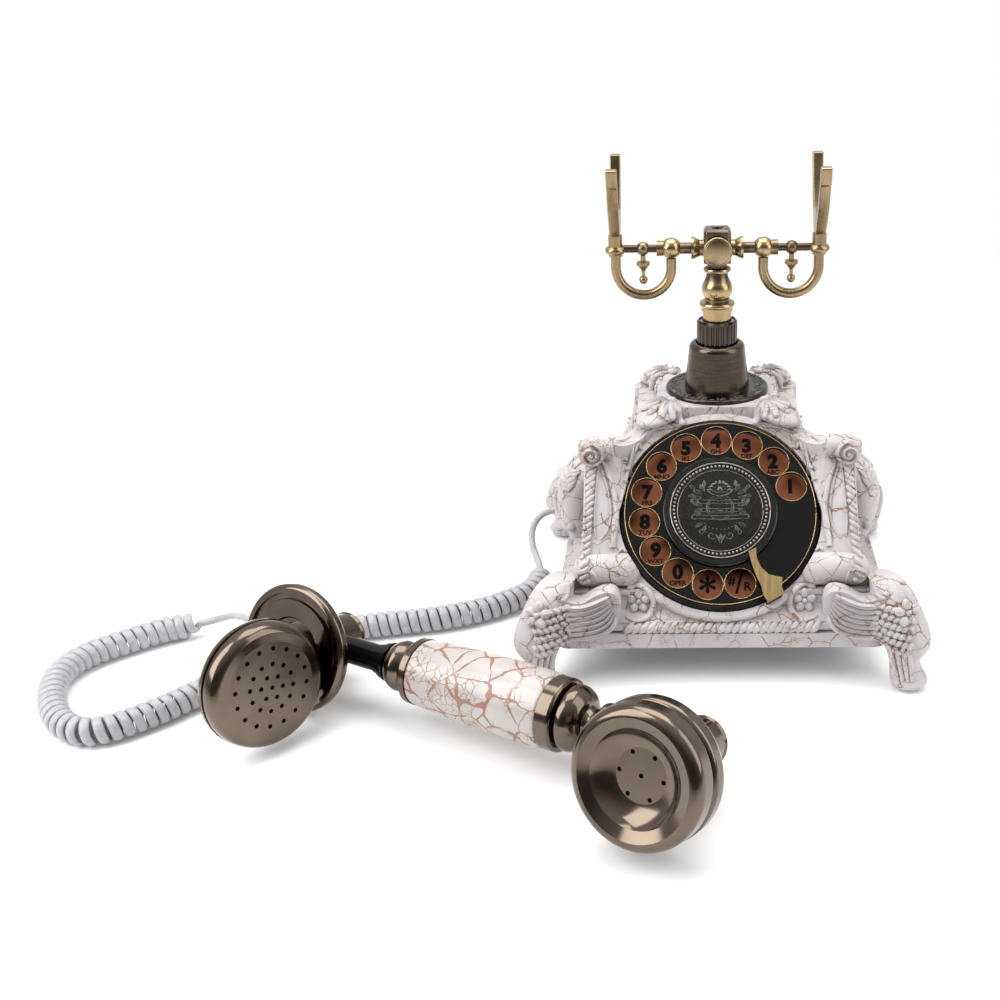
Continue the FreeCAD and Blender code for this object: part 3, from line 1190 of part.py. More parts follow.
solid("speaker", cylinder(16.0, ear_low + 4.2, dish - 2.4), head(q.ear_out))

# Ferrule where the cord enters the left barrel
root = -q.head_out - q.barrel_radius
turned("cord_ferrule", [
    (q.strand_radius + 0.1, root - 6.5), (3.6, root - 6.5), (4.6, root - 5.6), (4.6, root + 0.9),
    (q.strand_radius + 0.1, root + 0.9)], handle(0))

# How the handset lies: heading, dip and roll, then lowered until it rests on the table
doc.recompute()
u = V(0.8796, -0.4757, 0.0070).normalize()
n = V(-0.4574, -0.8417, 0.2871)
LIE = frame((-102.6, -144.6, 24.3), n, u)
pieces = NODES[made:]
for label, o in pieces:
    if o.Shape.isNull():
        raise RuntimeError("%s is empty" % label)
lowest = min(o.Shape.transformed(LIE.multiply(STAND.inverse()).toMatrix()).optimalBoundingBox().ZMin
             for label, o in pieces)
LIE.Base = LIE.Base - V(0, 0, lowest)
print("handset raised by", round(-lowest, 3))
for label, obj in pieces:
    obj.Placement = STAND.multiply(LIE).multiply(STAND.inverse()).multiply(obj.Placement)


# Cord
coil_z = num(q.coil_radius)
coil_line = [(-94, -2), (-95.7, -18.6), (-112, -34.7), (-136, -47), (-160.5, -51.8), (-187, -57.5),
             (-206.6, -69.1), (-227.8, -96.8), (-238.8, -114.2), (-256.8, -134.7), (-277.5, -150.1),
             (-294.2, -142.2), (-307.6, -121.9), (-314, -100), (-308, -82.2), (-291.4, -68.1),
             (-275.7, -56.4), (-264, -53.5)]
coil_points = [V(x, y, coil_z) for x, y in coil_line]
solid("cord_coil", route(coil_points, num(q.coil_radius), "coil"))
plug_out = V(-num(half) - 3.0, jack_y, jack_z)
tail_a = [plug_out, V(-92, 29.5, 31), V(-100, 24, 26), V(-101, 17, 17), V(-96.5, 9.5, 9.2), coil_points[0]]
solid("cord_tail_base", route(tail_a, num(q.strand_radius), "tail at the base"))
ferrule_out = LIE.multVec(V(num(root) - 6.5, 0, 0))
ferrule_way = LIE.multVec(V(num(root) - 18.0, 0, 0))
tail_b = [coil_points[-1], V(-252.5, -51, 8.5), V(-242.5, -57, 14), V(-233, -68, 19), V(-222.5, -78, 21.3),
          ferrule_way, ferrule_out]
solid("cord_tail_handset", route(tail_b, num(q.strand_radius), "tail at the handset"))
plug = box(-num(half) - 3.0, -num(half) + 11.5, jack_y - 3.8, jack_y + 3.8, jack_z - 3.3, jack_z + 3.3)
solid("cord_plug", plug)

doc.recompute()
for obj in doc.Objects:
    if "Invalid" in obj.State or "Error" in obj.State:
        raise RuntimeError("%s failed: %s" % (obj.Label, obj.State))
for label, obj in NODES:
    if obj.Shape.isNull() or not obj.Shape.Solids or not obj.Shape.isValid():
        raise RuntimeError("%s has no valid shape" % label)
for label, obj in NODES:
    obj.Shape.exportStep("parts/%s.step" % label)
print("nodes written: %d" % len(NODES))
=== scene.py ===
import math

import bmesh
import bpy
from mathutils import Matrix, Vector
from mathutils.bvhtree import BVHTree


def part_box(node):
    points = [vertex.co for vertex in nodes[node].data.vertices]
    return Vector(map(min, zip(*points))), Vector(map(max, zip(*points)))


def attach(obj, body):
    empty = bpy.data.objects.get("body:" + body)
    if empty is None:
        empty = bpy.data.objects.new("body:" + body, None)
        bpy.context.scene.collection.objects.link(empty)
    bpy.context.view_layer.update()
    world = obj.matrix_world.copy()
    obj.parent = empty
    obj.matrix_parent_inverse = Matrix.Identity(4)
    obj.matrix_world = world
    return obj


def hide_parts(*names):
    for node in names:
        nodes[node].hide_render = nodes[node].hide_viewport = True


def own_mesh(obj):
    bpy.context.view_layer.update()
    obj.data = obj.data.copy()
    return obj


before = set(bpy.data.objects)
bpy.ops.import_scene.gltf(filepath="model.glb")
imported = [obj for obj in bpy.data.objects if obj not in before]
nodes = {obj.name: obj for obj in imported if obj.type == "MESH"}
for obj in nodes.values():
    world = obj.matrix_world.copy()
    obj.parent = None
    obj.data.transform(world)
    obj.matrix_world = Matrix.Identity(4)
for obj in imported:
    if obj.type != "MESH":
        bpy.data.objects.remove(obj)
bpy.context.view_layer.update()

MM = 0.001

# The telephone is laid out round its column, and its front faces -Y
column_low, column_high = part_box("cradle_column")
column_at = Vector(((column_low[0] + column_high[0]) / 2,
                    (column_low[1] + column_high[1]) / 2, 0.0))


def here(east, north, up):
    """A point of the telephone, in millimetres from the column's foot, as a place in the scene."""
    return column_at + Vector((east, north, up)) * MM


def linked(name, data):
    """A new object of the scene, at the origin."""
    made = bpy.data.objects.new(name, data)
    bpy.context.scene.collection.objects.link(made)
    return made


def polar(radius, angle):
    """A flat point at a radius and an angle."""
    return radius * math.cos(angle), radius * math.sin(angle)


ARMS_UP = 182.3
DIAL_CENTRE = here(0, -66.0, 72.8)
COPPER_ENDS = (44.4, 44.8)


# ------------------------------------------------------------------ camera
CAMERA_PLACE = here(-16.3, -627.1, 331.6)
CAMERA_HEADING, CAMERA_DIP, CAMERA_ROLL = 1.28, 24.55, -1.0
camera_data = bpy.data.cameras.new("camera")
camera = linked("camera", camera_data)
bpy.context.scene.camera = camera
camera_data.sensor_width = 36.0
camera_data.lens = 47.25
camera_data.shift_x = -0.1588
camera_data.shift_y = 0.0075
camera_data.clip_start = 0.01
camera_data.clip_end = 20.0
camera.matrix_world = (Matrix.Translation(CAMERA_PLACE)
                       @ Matrix.Rotation(math.radians(CAMERA_HEADING), 4, "Z")
                       @ Matrix.Rotation(math.radians(90.0 - CAMERA_DIP), 4, "X")
                       @ Matrix.Rotation(math.radians(CAMERA_ROLL), 4, "Z"))


# --------------------------------------------------------------- materials
class Tree:
    """A node tree, with short words for the nodes in it."""

    def __init__(self, tree):
        self.tree = tree

    def node(self, kind, inputs=(), **settings):
        made = self.tree.nodes.new("ShaderNode" + kind)
        for key, value in settings.items():
            setattr(made, key, value)
        for socket, value in dict(inputs).items():
            if isinstance(value, bpy.types.NodeSocket):
                self.tree.links.new(value, made.inputs[socket])
            else:
                made.inputs[socket].default_value = value
        return made

    def sums(self, operation, first, second):
        return self.node("Math", {0: first, 1: second}, operation=operation).outputs[0]

    def vectors(self, operation, first, inputs=()):
        """A vector node: its first input, and its other inputs by name or number."""
        return self.node("VectorMath", {0: first, **dict(inputs)}, operation=operation).outputs


class Finish(Tree):
    """A material with its own shader."""

    def __init__(self, name, colour, roughness, metal=0.0, **sockets):
        self.material = bpy.data.materials.new(name)
        self.material.use_nodes = True
        super().__init__(self.material.node_tree)
        self.shader = self.tree.nodes["Principled BSDF"]
        self.shader.inputs["Base Color"].default_value = (*colour, 1.0)
        self.shader.inputs["Roughness"].default_value = roughness
        self.shader.inputs["Metallic"].default_value = metal
        for socket, value in sockets.items():
            self.shader.inputs[socket.replace("_", " ")].default_value = value
        self.where = self.tree.nodes.new("ShaderNodeTexCoord").outputs["Object"]

    def stretched(self, scale, turn=(0.0,) * 3):
        """The object's own coordinates, scaled and turned."""
        return self.node("Mapping", {"Vector": self.where, "Scale": scale,
                                     "Rotation": turn}).outputs[0]

    def noise(self, scale, detail=3.0, where=None):
        return self.node("TexNoise", {"Vector": where or self.where, "Scale": scale,
                                      "Detail": detail}).outputs["Fac"]

    def cracks(self, scale, where):
        """Distance to the nearest edge between the flakes of a crackled paint."""
        return self.node("TexVoronoi", {"Vector": where, "Scale": scale},
                         feature="DISTANCE_TO_EDGE").outputs["Distance"]

    def ramp(self, value, low, high, dark=0.0, light=1.0):
        """A smooth step from dark to light as the value goes from low to high."""
        return self.node("MapRange", {"Value": value, "From Min": low, "From Max": high,
                                      "To Min": dark, "To Max": light},
                         interpolation_type="SMOOTHSTEP").outputs["Result"]

    def mixed(self, factor, first, second):
        """Two colours mixed; each is a colour or a node's output."""
        first, second = [each if isinstance(each, bpy.types.NodeSocket) else (*each, 1.0)
                         for each in (first, second)]
        return self.node("Mix", {0: factor, 6: first, 7: second}, data_type="RGBA").outputs[2]

    def bump(self, height, strength, distance, under=None):
        inputs = {"Height": height, "Strength": strength, "Distance": distance}
        if under is not None:
            inputs["Normal"] = under
        return self.node("Bump", inputs).outputs[0]

    def set(self, **links):
        for socket, output in links.items():
            self.tree.links.new(output, self.shader.inputs[socket.replace("_", " ")])
        return self


def wandering(finish, scale, amount, start=None):
    """Coordinates pushed about by a noise, so that cracks run crooked."""
    noise = finish.node("TexNoise", {"Vector": finish.where, "Scale": scale, "Detail": 2.0})
    shift = finish.vectors("SUBTRACT", noise.outputs["Color"], {1: (0.5, 0.5, 0.5)})[0]
    shift = finish.vectors("SCALE", shift, {"Scale": amount})[0]
    return finish.vectors("ADD", start or finish.where, {1: shift})[0]


def crackled(name, paint, shade, crack, big, fine, width, thin_width, roughness, gloss, breakup):
    """A brittle paint over a copper ground: long cracks, and finer ones only in patches."""
    finish = Finish(name, paint, roughness, Coat_Weight=gloss, Coat_Roughness=0.25)
    crooked = wandering(finish, big * 2.0, 0.20 / big)
    jagged = wandering(finish, big * 9.0, 0.045 / big, crooked)
    wide = finish.cracks(big, jagged)
    thin = finish.cracks(fine, wandering(finish, fine * 2.0, 0.22 / fine))
    patches = finish.noise(big * 0.55, 2.0)
    swell = finish.ramp(finish.noise(big * 1.3, 3.0), 0.30, 0.72, 0.22, 1.7)
    edge = finish.sums("DIVIDE", wide, swell)
    long_cracks = finish.ramp(edge, width * 0.6, width, 1.0, 0.0)
    elsewhere = finish.stretched((1.0,) * 3, (0.4, 0.2, 0.9))
    open_here = finish.ramp(finish.noise(big * 0.9, 2.0, elsewhere), breakup - 0.14, breakup - 0.04)
    long_cracks = finish.sums("MULTIPLY", long_cracks, open_here)
    beside = finish.sums("MULTIPLY", finish.ramp(wide, 0.05, 0.17, 1.0, 0.0),
                         finish.ramp(finish.noise(fine * 0.35, 2.0), 0.46, 0.54))
    branching = finish.sums("MAXIMUM", finish.sums("MULTIPLY", beside, open_here),
                            finish.ramp(patches, breakup + 0.04, breakup + 0.14))
    thin_cracks = finish.sums("MULTIPLY", branching,
                              finish.ramp(thin, thin_width * 0.4, thin_width, 1.0, 0.0))
    cracked = finish.sums("MAXIMUM", long_cracks, thin_cracks)
    clouds = finish.mixed(finish.ramp(finish.noise(60.0, 4.0), 0.35, 0.7), shade, paint)
    finish.set(Base_Color=finish.mixed(cracked, clouds, crack),
               Roughness=finish.ramp(cracked, 0.0, 1.0, roughness, 0.55))
    surface = finish.sums("SUBTRACT", 1.0, cracked)
    grain = finish.bump(finish.noise(900.0, 2.0), 0.12, 0.0002)
    finish.set(Normal=finish.bump(surface, 0.5, 0.0003, grain))
    return finish.material


def worn_metal(name, bright, dark, roughness, brushed, polish=0.0):
    """Plated metal with a darker tone in its brush marks, which brushed stretches along an axis."""
    finish = Finish(name, bright, roughness, 1.0, Coat_Weight=polish, Coat_Roughness=0.12)
    marks = finish.noise(1.0, 3.0, finish.stretched(brushed))
    clouds = finish.noise(35.0, 3.0)
    tone = finish.ramp(finish.sums("ADD", finish.sums("MULTIPLY", marks, 0.7),
                                   finish.sums("MULTIPLY", clouds, 0.3)), 0.36, 0.64)
    finish.set(Base_Color=finish.mixed(tone, dark, bright),
               Roughness=finish.ramp(marks, 0.3, 0.7, roughness * 0.8, roughness * 1.25),
               Normal=finish.bump(marks, 0.25, 0.00005))
    return finish.material


def turned_brass(name, centre, across, thin, thick, patina_and_shade, bright):
    """Antique brass with painted shade: dark patina and painted shade where a turned piece is thin,
    in its recesses, and worn bright where it is thick.
    """
    finish = Finish(name, bright, 0.27, 1.0)
    off = finish.vectors("SUBTRACT", finish.where, {1: tuple(centre)})[0]
    off = finish.vectors("MULTIPLY", off, {1: across})[0]
    reach = finish.vectors("LENGTH", off)["Value"]
    clouds = finish.sums("MULTIPLY", finish.ramp(finish.noise(130.0, 3.0), 0.3, 0.7, -0.6, 0.6), MM)
    # Painted shade: the colour darkens towards the thin recesses of the turned piece, together with
    # patina
    rubbed_and_unshaded = finish.ramp(finish.sums("ADD", reach, clouds), thin * MM, thick * MM)
    finish.set(Base_Color=finish.mixed(rubbed_and_unshaded, patina_and_shade, bright),
               Roughness=finish.ramp(rubbed_and_unshaded, 0.0, 1.0, 0.36, 0.24))
    return finish.material


def gloss_varied(name, colour, level, scale, detail, smooth, rough):
    """An even dark colour whose gloss wanders a little."""
    finish = Finish(name, colour, smooth, Specular_IOR_Level=level)
    finish.set(Roughness=finish.ramp(finish.noise(scale, detail), 0.3, 0.7, smooth, rough))
    return finish.material


def number_plate_finish():
    """Copper tone under the finger holes, black beyond the wheel's edge."""
    finish = Finish("copper_number_plate", (0.24, 0.086, 0.042), 0.42, 0.9)
    reach = finish.vectors("DISTANCE", finish.where, {1: DIAL_CENTRE})["Value"]
    edge = finish.ramp(reach, COPPER_ENDS[0] * MM, COPPER_ENDS[1] * MM)
    marks = finish.noise(60.0, 3.0)
    copper = finish.mixed(finish.ramp(marks, 0.3, 0.7), (0.20, 0.070, 0.034), (0.25, 0.090, 0.044))
    finish.set(Base_Color=finish.mixed(edge, copper, (0.006, 0.006, 0.006)),
               Metallic=finish.ramp(edge, 0.0, 1.0, 0.9, 0.0))
    return finish.material


def plain(name, colour, roughness, scale, depth):
    """Moulded plastic, rubber or board: an even colour with a fine texture of its own."""
    finish = Finish(name, colour, roughness)
    speck = finish.noise(scale, 3.0)
    dark = tuple(c * 0.86 for c in colour)
    finish.set(Base_Color=finish.mixed(finish.ramp(speck, 0.3, 0.7), dark, colour),
               Normal=finish.bump(speck, 0.2, depth))
    return finish.material


RESIN = crackled("crackled_resin_paint", (0.485, 0.458, 0.460), (0.42, 0.392, 0.395),
                 (0.24, 0.135, 0.085), big=88.0, fine=300.0, width=0.020, thin_width=0.034,
                 roughness=0.62, gloss=0.0, breakup=0.50)
GRIP_PAINT = crackled("crackled_grip_paint", (0.43, 0.400, 0.388), (0.38, 0.348, 0.333),
                      (0.25, 0.122, 0.067), big=80.0, fine=250.0, width=0.050, thin_width=0.045,
                      roughness=0.30, gloss=0.35, breakup=0.46)
# Painted shade with patina for the recesses of the turned brass, and the plain brass beside them
BRASS_PATINA_AND_SHADE = (0.095, 0.070, 0.048)
BRASS_RUBBED_UNSHADED = (0.39, 0.285, 0.155)
ARM_BRASS = turned_brass("brass_of_the_arms", here(0, 0, ARMS_UP), (0.0, 1.0, 1.0), 2.2, 4.9,
                         BRASS_PATINA_AND_SHADE, BRASS_RUBBED_UNSHADED)
COLUMN_BRASS = turned_brass("brass_of_the_column", here(0, 0, 160.0), (1.0, 1.0, 0.0), 5.0, 7.3,
                            BRASS_PATINA_AND_SHADE, BRASS_RUBBED_UNSHADED)
BRASS = worn_metal("antique_brass", (0.35, 0.258, 0.142), (0.24, 0.172, 0.095), 0.27, (45.0,) * 3)
HUB_BRASS = worn_metal("dark_brass_of_the_hub", (0.165, 0.122, 0.082), (0.085, 0.062, 0.044), 0.26,
                       (120.0,) * 3)
BRIGHT_BRASS = worn_metal("bright_brass", (0.55, 0.40, 0.19), (0.44, 0.31, 0.14), 0.20,
                          (900.0, 60.0, 60.0))
CUP_BRONZE = worn_metal("brushed_cup_bronze", (0.098, 0.074, 0.054), (0.048, 0.036, 0.027), 0.22,
                        (120.0, 120.0, 2600.0), 0.15)
DARK_BRONZE = worn_metal("dark_bronze", (0.060, 0.046, 0.037), (0.030, 0.023, 0.019), 0.17,
                         (300.0, 300.0, 60.0), 0.2)
GUNMETAL = worn_metal("polished_gunmetal", (0.128, 0.097, 0.072), (0.100, 0.076, 0.056), 0.15,
                      (60.0,) * 3, 0.25)
STEEL = worn_metal("steel", (0.40, 0.39, 0.37), (0.30, 0.29, 0.28), 0.30, (500.0, 500.0, 40.0))
ETCHED_NICKEL = worn_metal("etched_nickel", (0.040, 0.040, 0.037), (0.030, 0.030, 0.028), 0.20,
                           (700.0,) * 3)
RELIEF_NICKEL = worn_metal("relief_nickel", (0.120, 0.116, 0.104), (0.075, 0.072, 0.065), 0.26,
                           (500.0,) * 3)
BEAD_NICKEL = worn_metal("bright_nickel", (0.34, 0.32, 0.28), (0.22, 0.20, 0.17), 0.22,
                         (300.0,) * 3)
COPPER_PLATE = number_plate_finish()
WHEEL_BLACK = gloss_varied("polished_black_wheel", (0.0030, 0.0029, 0.0027), 0.22, 90.0, 2.0,
                           0.025, 0.040)
INK = gloss_varied("dial_ink", (0.006, 0.005, 0.005), 0.1, 700.0, 3.0, 0.55, 0.7)
NYLON = plain("nylon", (0.72, 0.70, 0.64), 0.45, 800.0, 0.00004)
RUBBER = plain("rubber", (0.045, 0.044, 0.043), 0.75, 1200.0, 0.0001)
BLACK_PLASTIC = plain("black_plastic", (0.025, 0.025, 0.026), 0.42, 900.0, 0.00005)
BOARD = plain("circuit_board", (0.03, 0.16, 0.07), 0.40, 500.0, 0.00003)
CORD_JACKET = plain("cord_jacket", (0.385, 0.372, 0.398), 0.34, 500.0, 0.00004)

FINISHES = {
    RESIN: ["housing"],
    GRIP_PAINT: ["grip"],
    BRASS: ["hub_caps", "left_hook", "right_hook", "fork_posts", "left_fork", "right_fork",
            "finials"],
    ARM_BRASS: ["left_arm", "right_arm"],
    COLUMN_BRASS: ["cradle_column"],
    HUB_BRASS: ["cross_hub"],
    CUP_BRONZE: ["stand_cup"],
    DARK_BRONZE: ["stand_flange", "fluted_collar"],
    GUNMETAL: ["ferrule_left", "ball_collar_left", "ferrule_right", "collar_right", "barrel_left",
               "barrel_right", "end_caps", "ring_housing", "mouth_cup", "mouth_cap", "mouth_neck",
               "ear_shell", "ear_cap"],
    WHEEL_BLACK: ["finger_wheel", "handle_tube_left", "dial_bezel"],
    COPPER_PLATE: ["number_plate"],
    ETCHED_NICKEL: ["medallion", "centre_ring"],
    BRIGHT_BRASS: ["finger_stop", "dial_gear"],
    STEEL: ["tie_rod", "dial_shaft", "cradle_spring", "base_plate_screws", "guide_tube",
            "tube_nut", "cord_ferrule"],
    NYLON: ["governor_pinion"],
    RUBBER: ["foot_pads"],
    BLACK_PLASTIC: ["base_plate", "dial_can", "hook_switch", "ringer", "line_socket",
                    "handset_socket", "speaker", "microphone"],
    BOARD: ["main_board"],
    CORD_JACKET: ["cord_plug", "cord_coil", "cord_tail_base", "cord_tail_handset"],
}
for material, names in FINISHES.items():
    for name in names:
        mesh = nodes[name].data
        mesh.materials.clear()
        mesh.materials.append(material)
        for polygon in mesh.polygons:
            polygon.material_index = 0


# ------------------------------------------------------------ mesh helpers
def settle(name, maker, material, body, replaced=(), sharp_from=None):
    """Makes the mesh a piece that rides on a body and stands for the nodes that it replaces."""
    data = bpy.data.meshes.new(name)
    bmesh.ops.recalc_face_normals(maker, faces=maker.faces[:])
    maker.to_mesh(data)
    maker.free()
    data.materials.append(material)
    piece = linked(name, data)
    if sharp_from is None:
        data.shade_smooth()
    else:
        data.set_sharp_from_angle(angle=math.radians(sharp_from))
    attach(piece, body)
    if replaced:
        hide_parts(*replaced)
    return piece


# -------------------------------------------------------------------- cord
# The route, in millimetres: down from the socket, through the curls on the table, up to the handset
BASE_TAIL = [(-80, 30, 31.5), (-92, 29.5, 31), (-100, 24, 26), (-101, 17, 17), (-96.5, 9.5, 9.2)]
CURLS = [(-94, -2), (-95.7, -18.6), (-112, -34.7), (-136, -47), (-160.5, -51.8), (-187, -57.5),
         (-206.6, -69.1), (-227.8, -96.8), (-238.8, -114.2), (-256.8, -134.7), (-277.5, -150.1),
         (-294.2, -142.2), (-307.6, -121.9), (-314, -100), (-308, -82.2), (-291.4, -68.1),
         (-275.7, -56.4), (-264, -53.5)]
HANDSET_TAIL = [(-252.5, -51, 8.5), (-242.5, -57, 14), (-233, -68, 19), (-222.5, -78, 21.3),
                (-210.8, -86.1, 23.4), (-200.7, -91.6, 23.5)]
CURLS_UP = 6.5
CURL_RADIUS = 6.5 * MM
CURL_PITCH = 5.0 * MM
CURL_FADE = 7.0 * MM
STRAND_WIDE = 2.25 * MM
STRAND_THICK = 1.3 * MM
TAIL_RADIUS = 1.9 * MM
CORD_STEP = 0.25 * MM
STRAND_SIDES = 12
STATIONS_AT_ONCE = 60


def guide(name, points):
    """A smooth line through the route's points, read as a row of places along it."""
    curve = bpy.data.curves.new(name, "CURVE")
    curve.dimensions = "3D"
    curve.resolution_u = 24
    spline = curve.splines.new("NURBS")
    spline.points.add(len(points) - 1)
    for slot, point in zip(spline.points, points):
        slot.co = (*point, 1.0)
    spline.order_u = 3
    spline.use_endpoint_u = True
    line = bpy.data.objects.new(name, curve)
    mesh = bpy.data.meshes.new_from_object(line)
    places = [vertex.co.copy() for vertex in mesh.vertices]
    bpy.data.meshes.remove(mesh)
    bpy.data.objects.remove(line)
    bpy.data.curves.remove(curve)
    return places


def evenly(places, step):
    """The same line with its places a step apart."""
    rest = [places[0]]
    run = 0.0
    for first, second in zip(places, places[1:]):
        length = (second - first).length
        while run + length >= step:
            first = first.lerp(second, (step - run) / length)
            rest.append(first)
            length = (second - first).length
            run = 0.0
        run += length
    return rest


def frames_along(places):
    """At each place a way ahead and a side that turns as little as it can."""
    side = Vector((0, 0, 1))
    rows = []
    for i, place in enumerate(places):
        ahead = (places[min(i + 1, len(places) - 1)] - places[max(i - 1, 0)]).normalized()
        side = (side - ahead * side.dot(ahead)).normalized()
        rows.append((place, ahead, side))
    return rows


def section_at(place, ahead, thick_way, wide, thick):
    """A matrix that sets a round section of radius 1 at a place, flattened and facing ahead."""
    thick_way = (thick_way - ahead * thick_way.dot(ahead)).normalized()
    wide_way = ahead.cross(thick_way)
    rows = [(wide_way[k] * wide, thick_way[k] * thick, ahead[k], 0) for k in range(3)]
    return Matrix.Translation(place) @ Matrix((*rows, (0, 0, 0, 1)))


def grow(maker, sections, sides):
    """Adds a closed tube to a mesh under way: a round section drawn along a row of sections."""
    tube = bmesh.new()
    ring = bmesh.ops.create_circle(tube, cap_ends=True, segments=sides, radius=1.0)["verts"]
    bmesh.ops.transform(tube, matrix=sections[0], verts=ring)
    edges = tube.edges[:]
    for last, this in zip(sections, sections[1:]):
        grown = bmesh.ops.extrude_edge_only(tube, edges=edges)["geom"]
        edges = [item for item in grown
                 if isinstance(item, bmesh.types.BMEdge) and item.is_boundary]
        fresh = [item for item in grown if isinstance(item, bmesh.types.BMVert)]
        bmesh.ops.transform(tube, matrix=this @ last.inverted(), verts=fresh)
    bmesh.ops.contextual_create(tube, geom=edges)
    add(maker, tube)


def add(maker, part):
    """Puts a finished small mesh into a bigger one."""
    carried = bpy.data.meshes.new("part")
    part.to_mesh(carried)
    part.free()
    maker.from_mesh(carried)
    bpy.data.meshes.remove(carried)


cord_points = [here(*point) for point in BASE_TAIL]
cord_points += [here(*point, CURLS_UP) for point in CURLS]
cord_points += [here(*point) for point in HANDSET_TAIL]
cord_line = evenly(guide("cord_line", cord_points), CORD_STEP)


def nearest_step(point):
    """The number of the step of the cord's line that is nearest to a point of its curls."""
    return min(range(len(cord_line)), key=lambda i: (cord_line[i] - here(*point, CURLS_UP)).length)


first_curl, last_curl = nearest_step(CURLS[0]), nearest_step(CURLS[-1])
turned_by = 0.0
helix = []
for i, (place, ahead, side) in enumerate(frames_along(cord_line)):
    inside = min(i - first_curl, last_curl - i) * CORD_STEP
    curled = max(0.0, min(1.0, inside / CURL_FADE + 0.5))
    curled = curled * curled * (3 - 2 * curled)
    turned_by += curled * CORD_STEP / CURL_PITCH * 2 * math.pi
    outward = side * math.cos(turned_by) + ahead.cross(side) * math.sin(turned_by)
    helix.append((place + outward * (CURL_RADIUS - STRAND_THICK) * curled, outward, curled))
stations = []
for i, (place, outward, curled) in enumerate(helix):
    if curled < 0.05 and i % 4:
        continue
    ahead = (helix[min(i + 1, len(helix) - 1)][0] - helix[max(i - 1, 0)][0]).normalized()
    stations.append(section_at(place, ahead, outward,
                               TAIL_RADIUS + (STRAND_WIDE - TAIL_RADIUS) * curled,
                               TAIL_RADIUS + (STRAND_THICK - TAIL_RADIUS) * curled))
cord_maker = bmesh.new()
for start in range(0, len(stations) - 1, STATIONS_AT_ONCE):
    grow(cord_maker, stations[start:start + STATIONS_AT_ONCE + 1], STRAND_SIDES)
bmesh.ops.delete(cord_maker, geom=[face for face in cord_maker.faces if len(face.verts) > 4],
                 context="FACES_ONLY")
bmesh.ops.remove_doubles(cord_maker, verts=cord_maker.verts[:], dist=0.01 * MM)
bmesh.ops.holes_fill(cord_maker, edges=[edge for edge in cord_maker.edges if edge.is_boundary],
                     sides=20)
cord = settle("handset_cord", cord_maker, CORD_JACKET, "phone_base",
              ["cord_coil", "cord_tail_base", "cord_tail_handset"])


# --------------------------------------------- carving on the resin housing
def skin_of(node):
    """A node's surface, to be met by rays."""
    mesh = nodes[node].data
    return BVHTree.FromPolygons([vertex.co for vertex in mesh.vertices],
                                [polygon.vertices[:] for polygon in mesh.polygons])


EAST, FORWARD, UPWARD = Vector((1, 0, 0)), Vector((0, -1, 0)), Vector((0, 0, 1))
# The way that a ray looks at each face of the housing
FACES = {"front": -FORWARD, "rear": FORWARD, "east": -EAST, "west": EAST, "top": -UPWARD}
FAR_OFF = 0.25
OVER_THE_BLOCK = 160
BLOCK_SIDES = 0.080
# A draped line ends where it would leap through the air to another part of the housing
LEAP = 6.0 * MM
housing_skin = skin_of("housing")


def on_skin(face, across, up):
    """The housing's surface met from one side, and the way it faces there."""
    look = FACES[face]
    if face in ("front", "rear"):
        start = here(across, 0, up) - look * FAR_OFF
    elif face == "top":
        start = here(across, up, OVER_THE_BLOCK)
    else:
        start = here(0, across, up) - look * FAR_OFF
    place, normal, _, _ = housing_skin.ray_cast(start, look)
    if place is None:
        return None
    if normal.dot(look) > 0:
        normal = -normal
    return place, normal


def evenly_spread(points, count):
    """A smooth line through flat points in millimetres, as a fixed number of places along it."""
    places = guide("pattern", [(a * MM, b * MM, 0) for a, b in points])
    total = sum((b - a).length for a, b in zip(places, places[1:]))
    return evenly(places, total / (count - 1) * 0.9999)[:count]


def draped(face, points, count):
    """A smooth line laid over a face of the housing, as rows of place and outward way."""
    runs = [[]]
    for row in [on_skin(face, p.x / MM, p.y / MM) for p in evenly_spread(points, count)]:
        if row is None or (runs[-1] and (row[0] - runs[-1][-1][0]).length > LEAP):
            runs.append([])
        if row is not None:
            runs[-1].append(row)
    rows = max(runs, key=len)
    smooth = []
    for i in range(len(rows)):
        near = rows[max(0, i - 2):i + 3]
        smooth.append((sum((place for place, _ in near), Vector()) / len(near),
                       sum((normal for _, normal in near), Vector()).normalized()))
    return smooth


def laid_rib(maker, rows, wide, high, ends=(0.3, 0.3), belly=0.5, lift=0.0, sides=8):
    """A rounded rib along draped rows: it swells to its belly and thins to its ends."""
    if len(rows) < 3:
        return
    sections = []
    last = len(rows) - 1
    for i, (place, normal) in enumerate(rows):
        share = i / last
        swell = share / belly if share < belly else (1 - share) / (1 - belly)
        end = ends[0] if share < belly else ends[1]
        swell = end + (1 - end) * math.sin(min(1.0, max(0.0, swell)) * math.pi / 2)
        ahead = (rows[min(i + 1, last)][0] - rows[max(i - 1, 0)][0]).normalized()
        sections.append(section_at(place + normal * lift * MM, ahead, normal,
                                   wide * MM * swell, high * MM * swell))
    grow(maker, sections, sides)


def upright_on(normal, other):
    """The upright way along a surface, or the other way along one that lies flat."""
    side = UPWARD if abs(normal.z) < 0.9 else Vector(other)
    return (side - normal * side.dot(normal)).normalized()


def knob(maker, place, normal, size, turn=0.0, detail=(10, 6)):
    """A rounded bump, long along its own turn on the surface."""
    side = upright_on(normal, (1, 0, 0))
    matrix = (Matrix.Translation(place)
              @ Matrix((side.cross(normal), side, normal)).transposed().to_4x4()
              @ Matrix.Rotation(turn, 4, "Z")
              @ Matrix.Diagonal((size[0] * MM, size[1] * MM, size[2] * MM, 1)))
    ball = bmesh.new()
    bmesh.ops.create_uvsphere(ball, u_segments=detail[0], v_segments=detail[1], radius=1.0,
                              matrix=matrix)
    add(maker, ball)


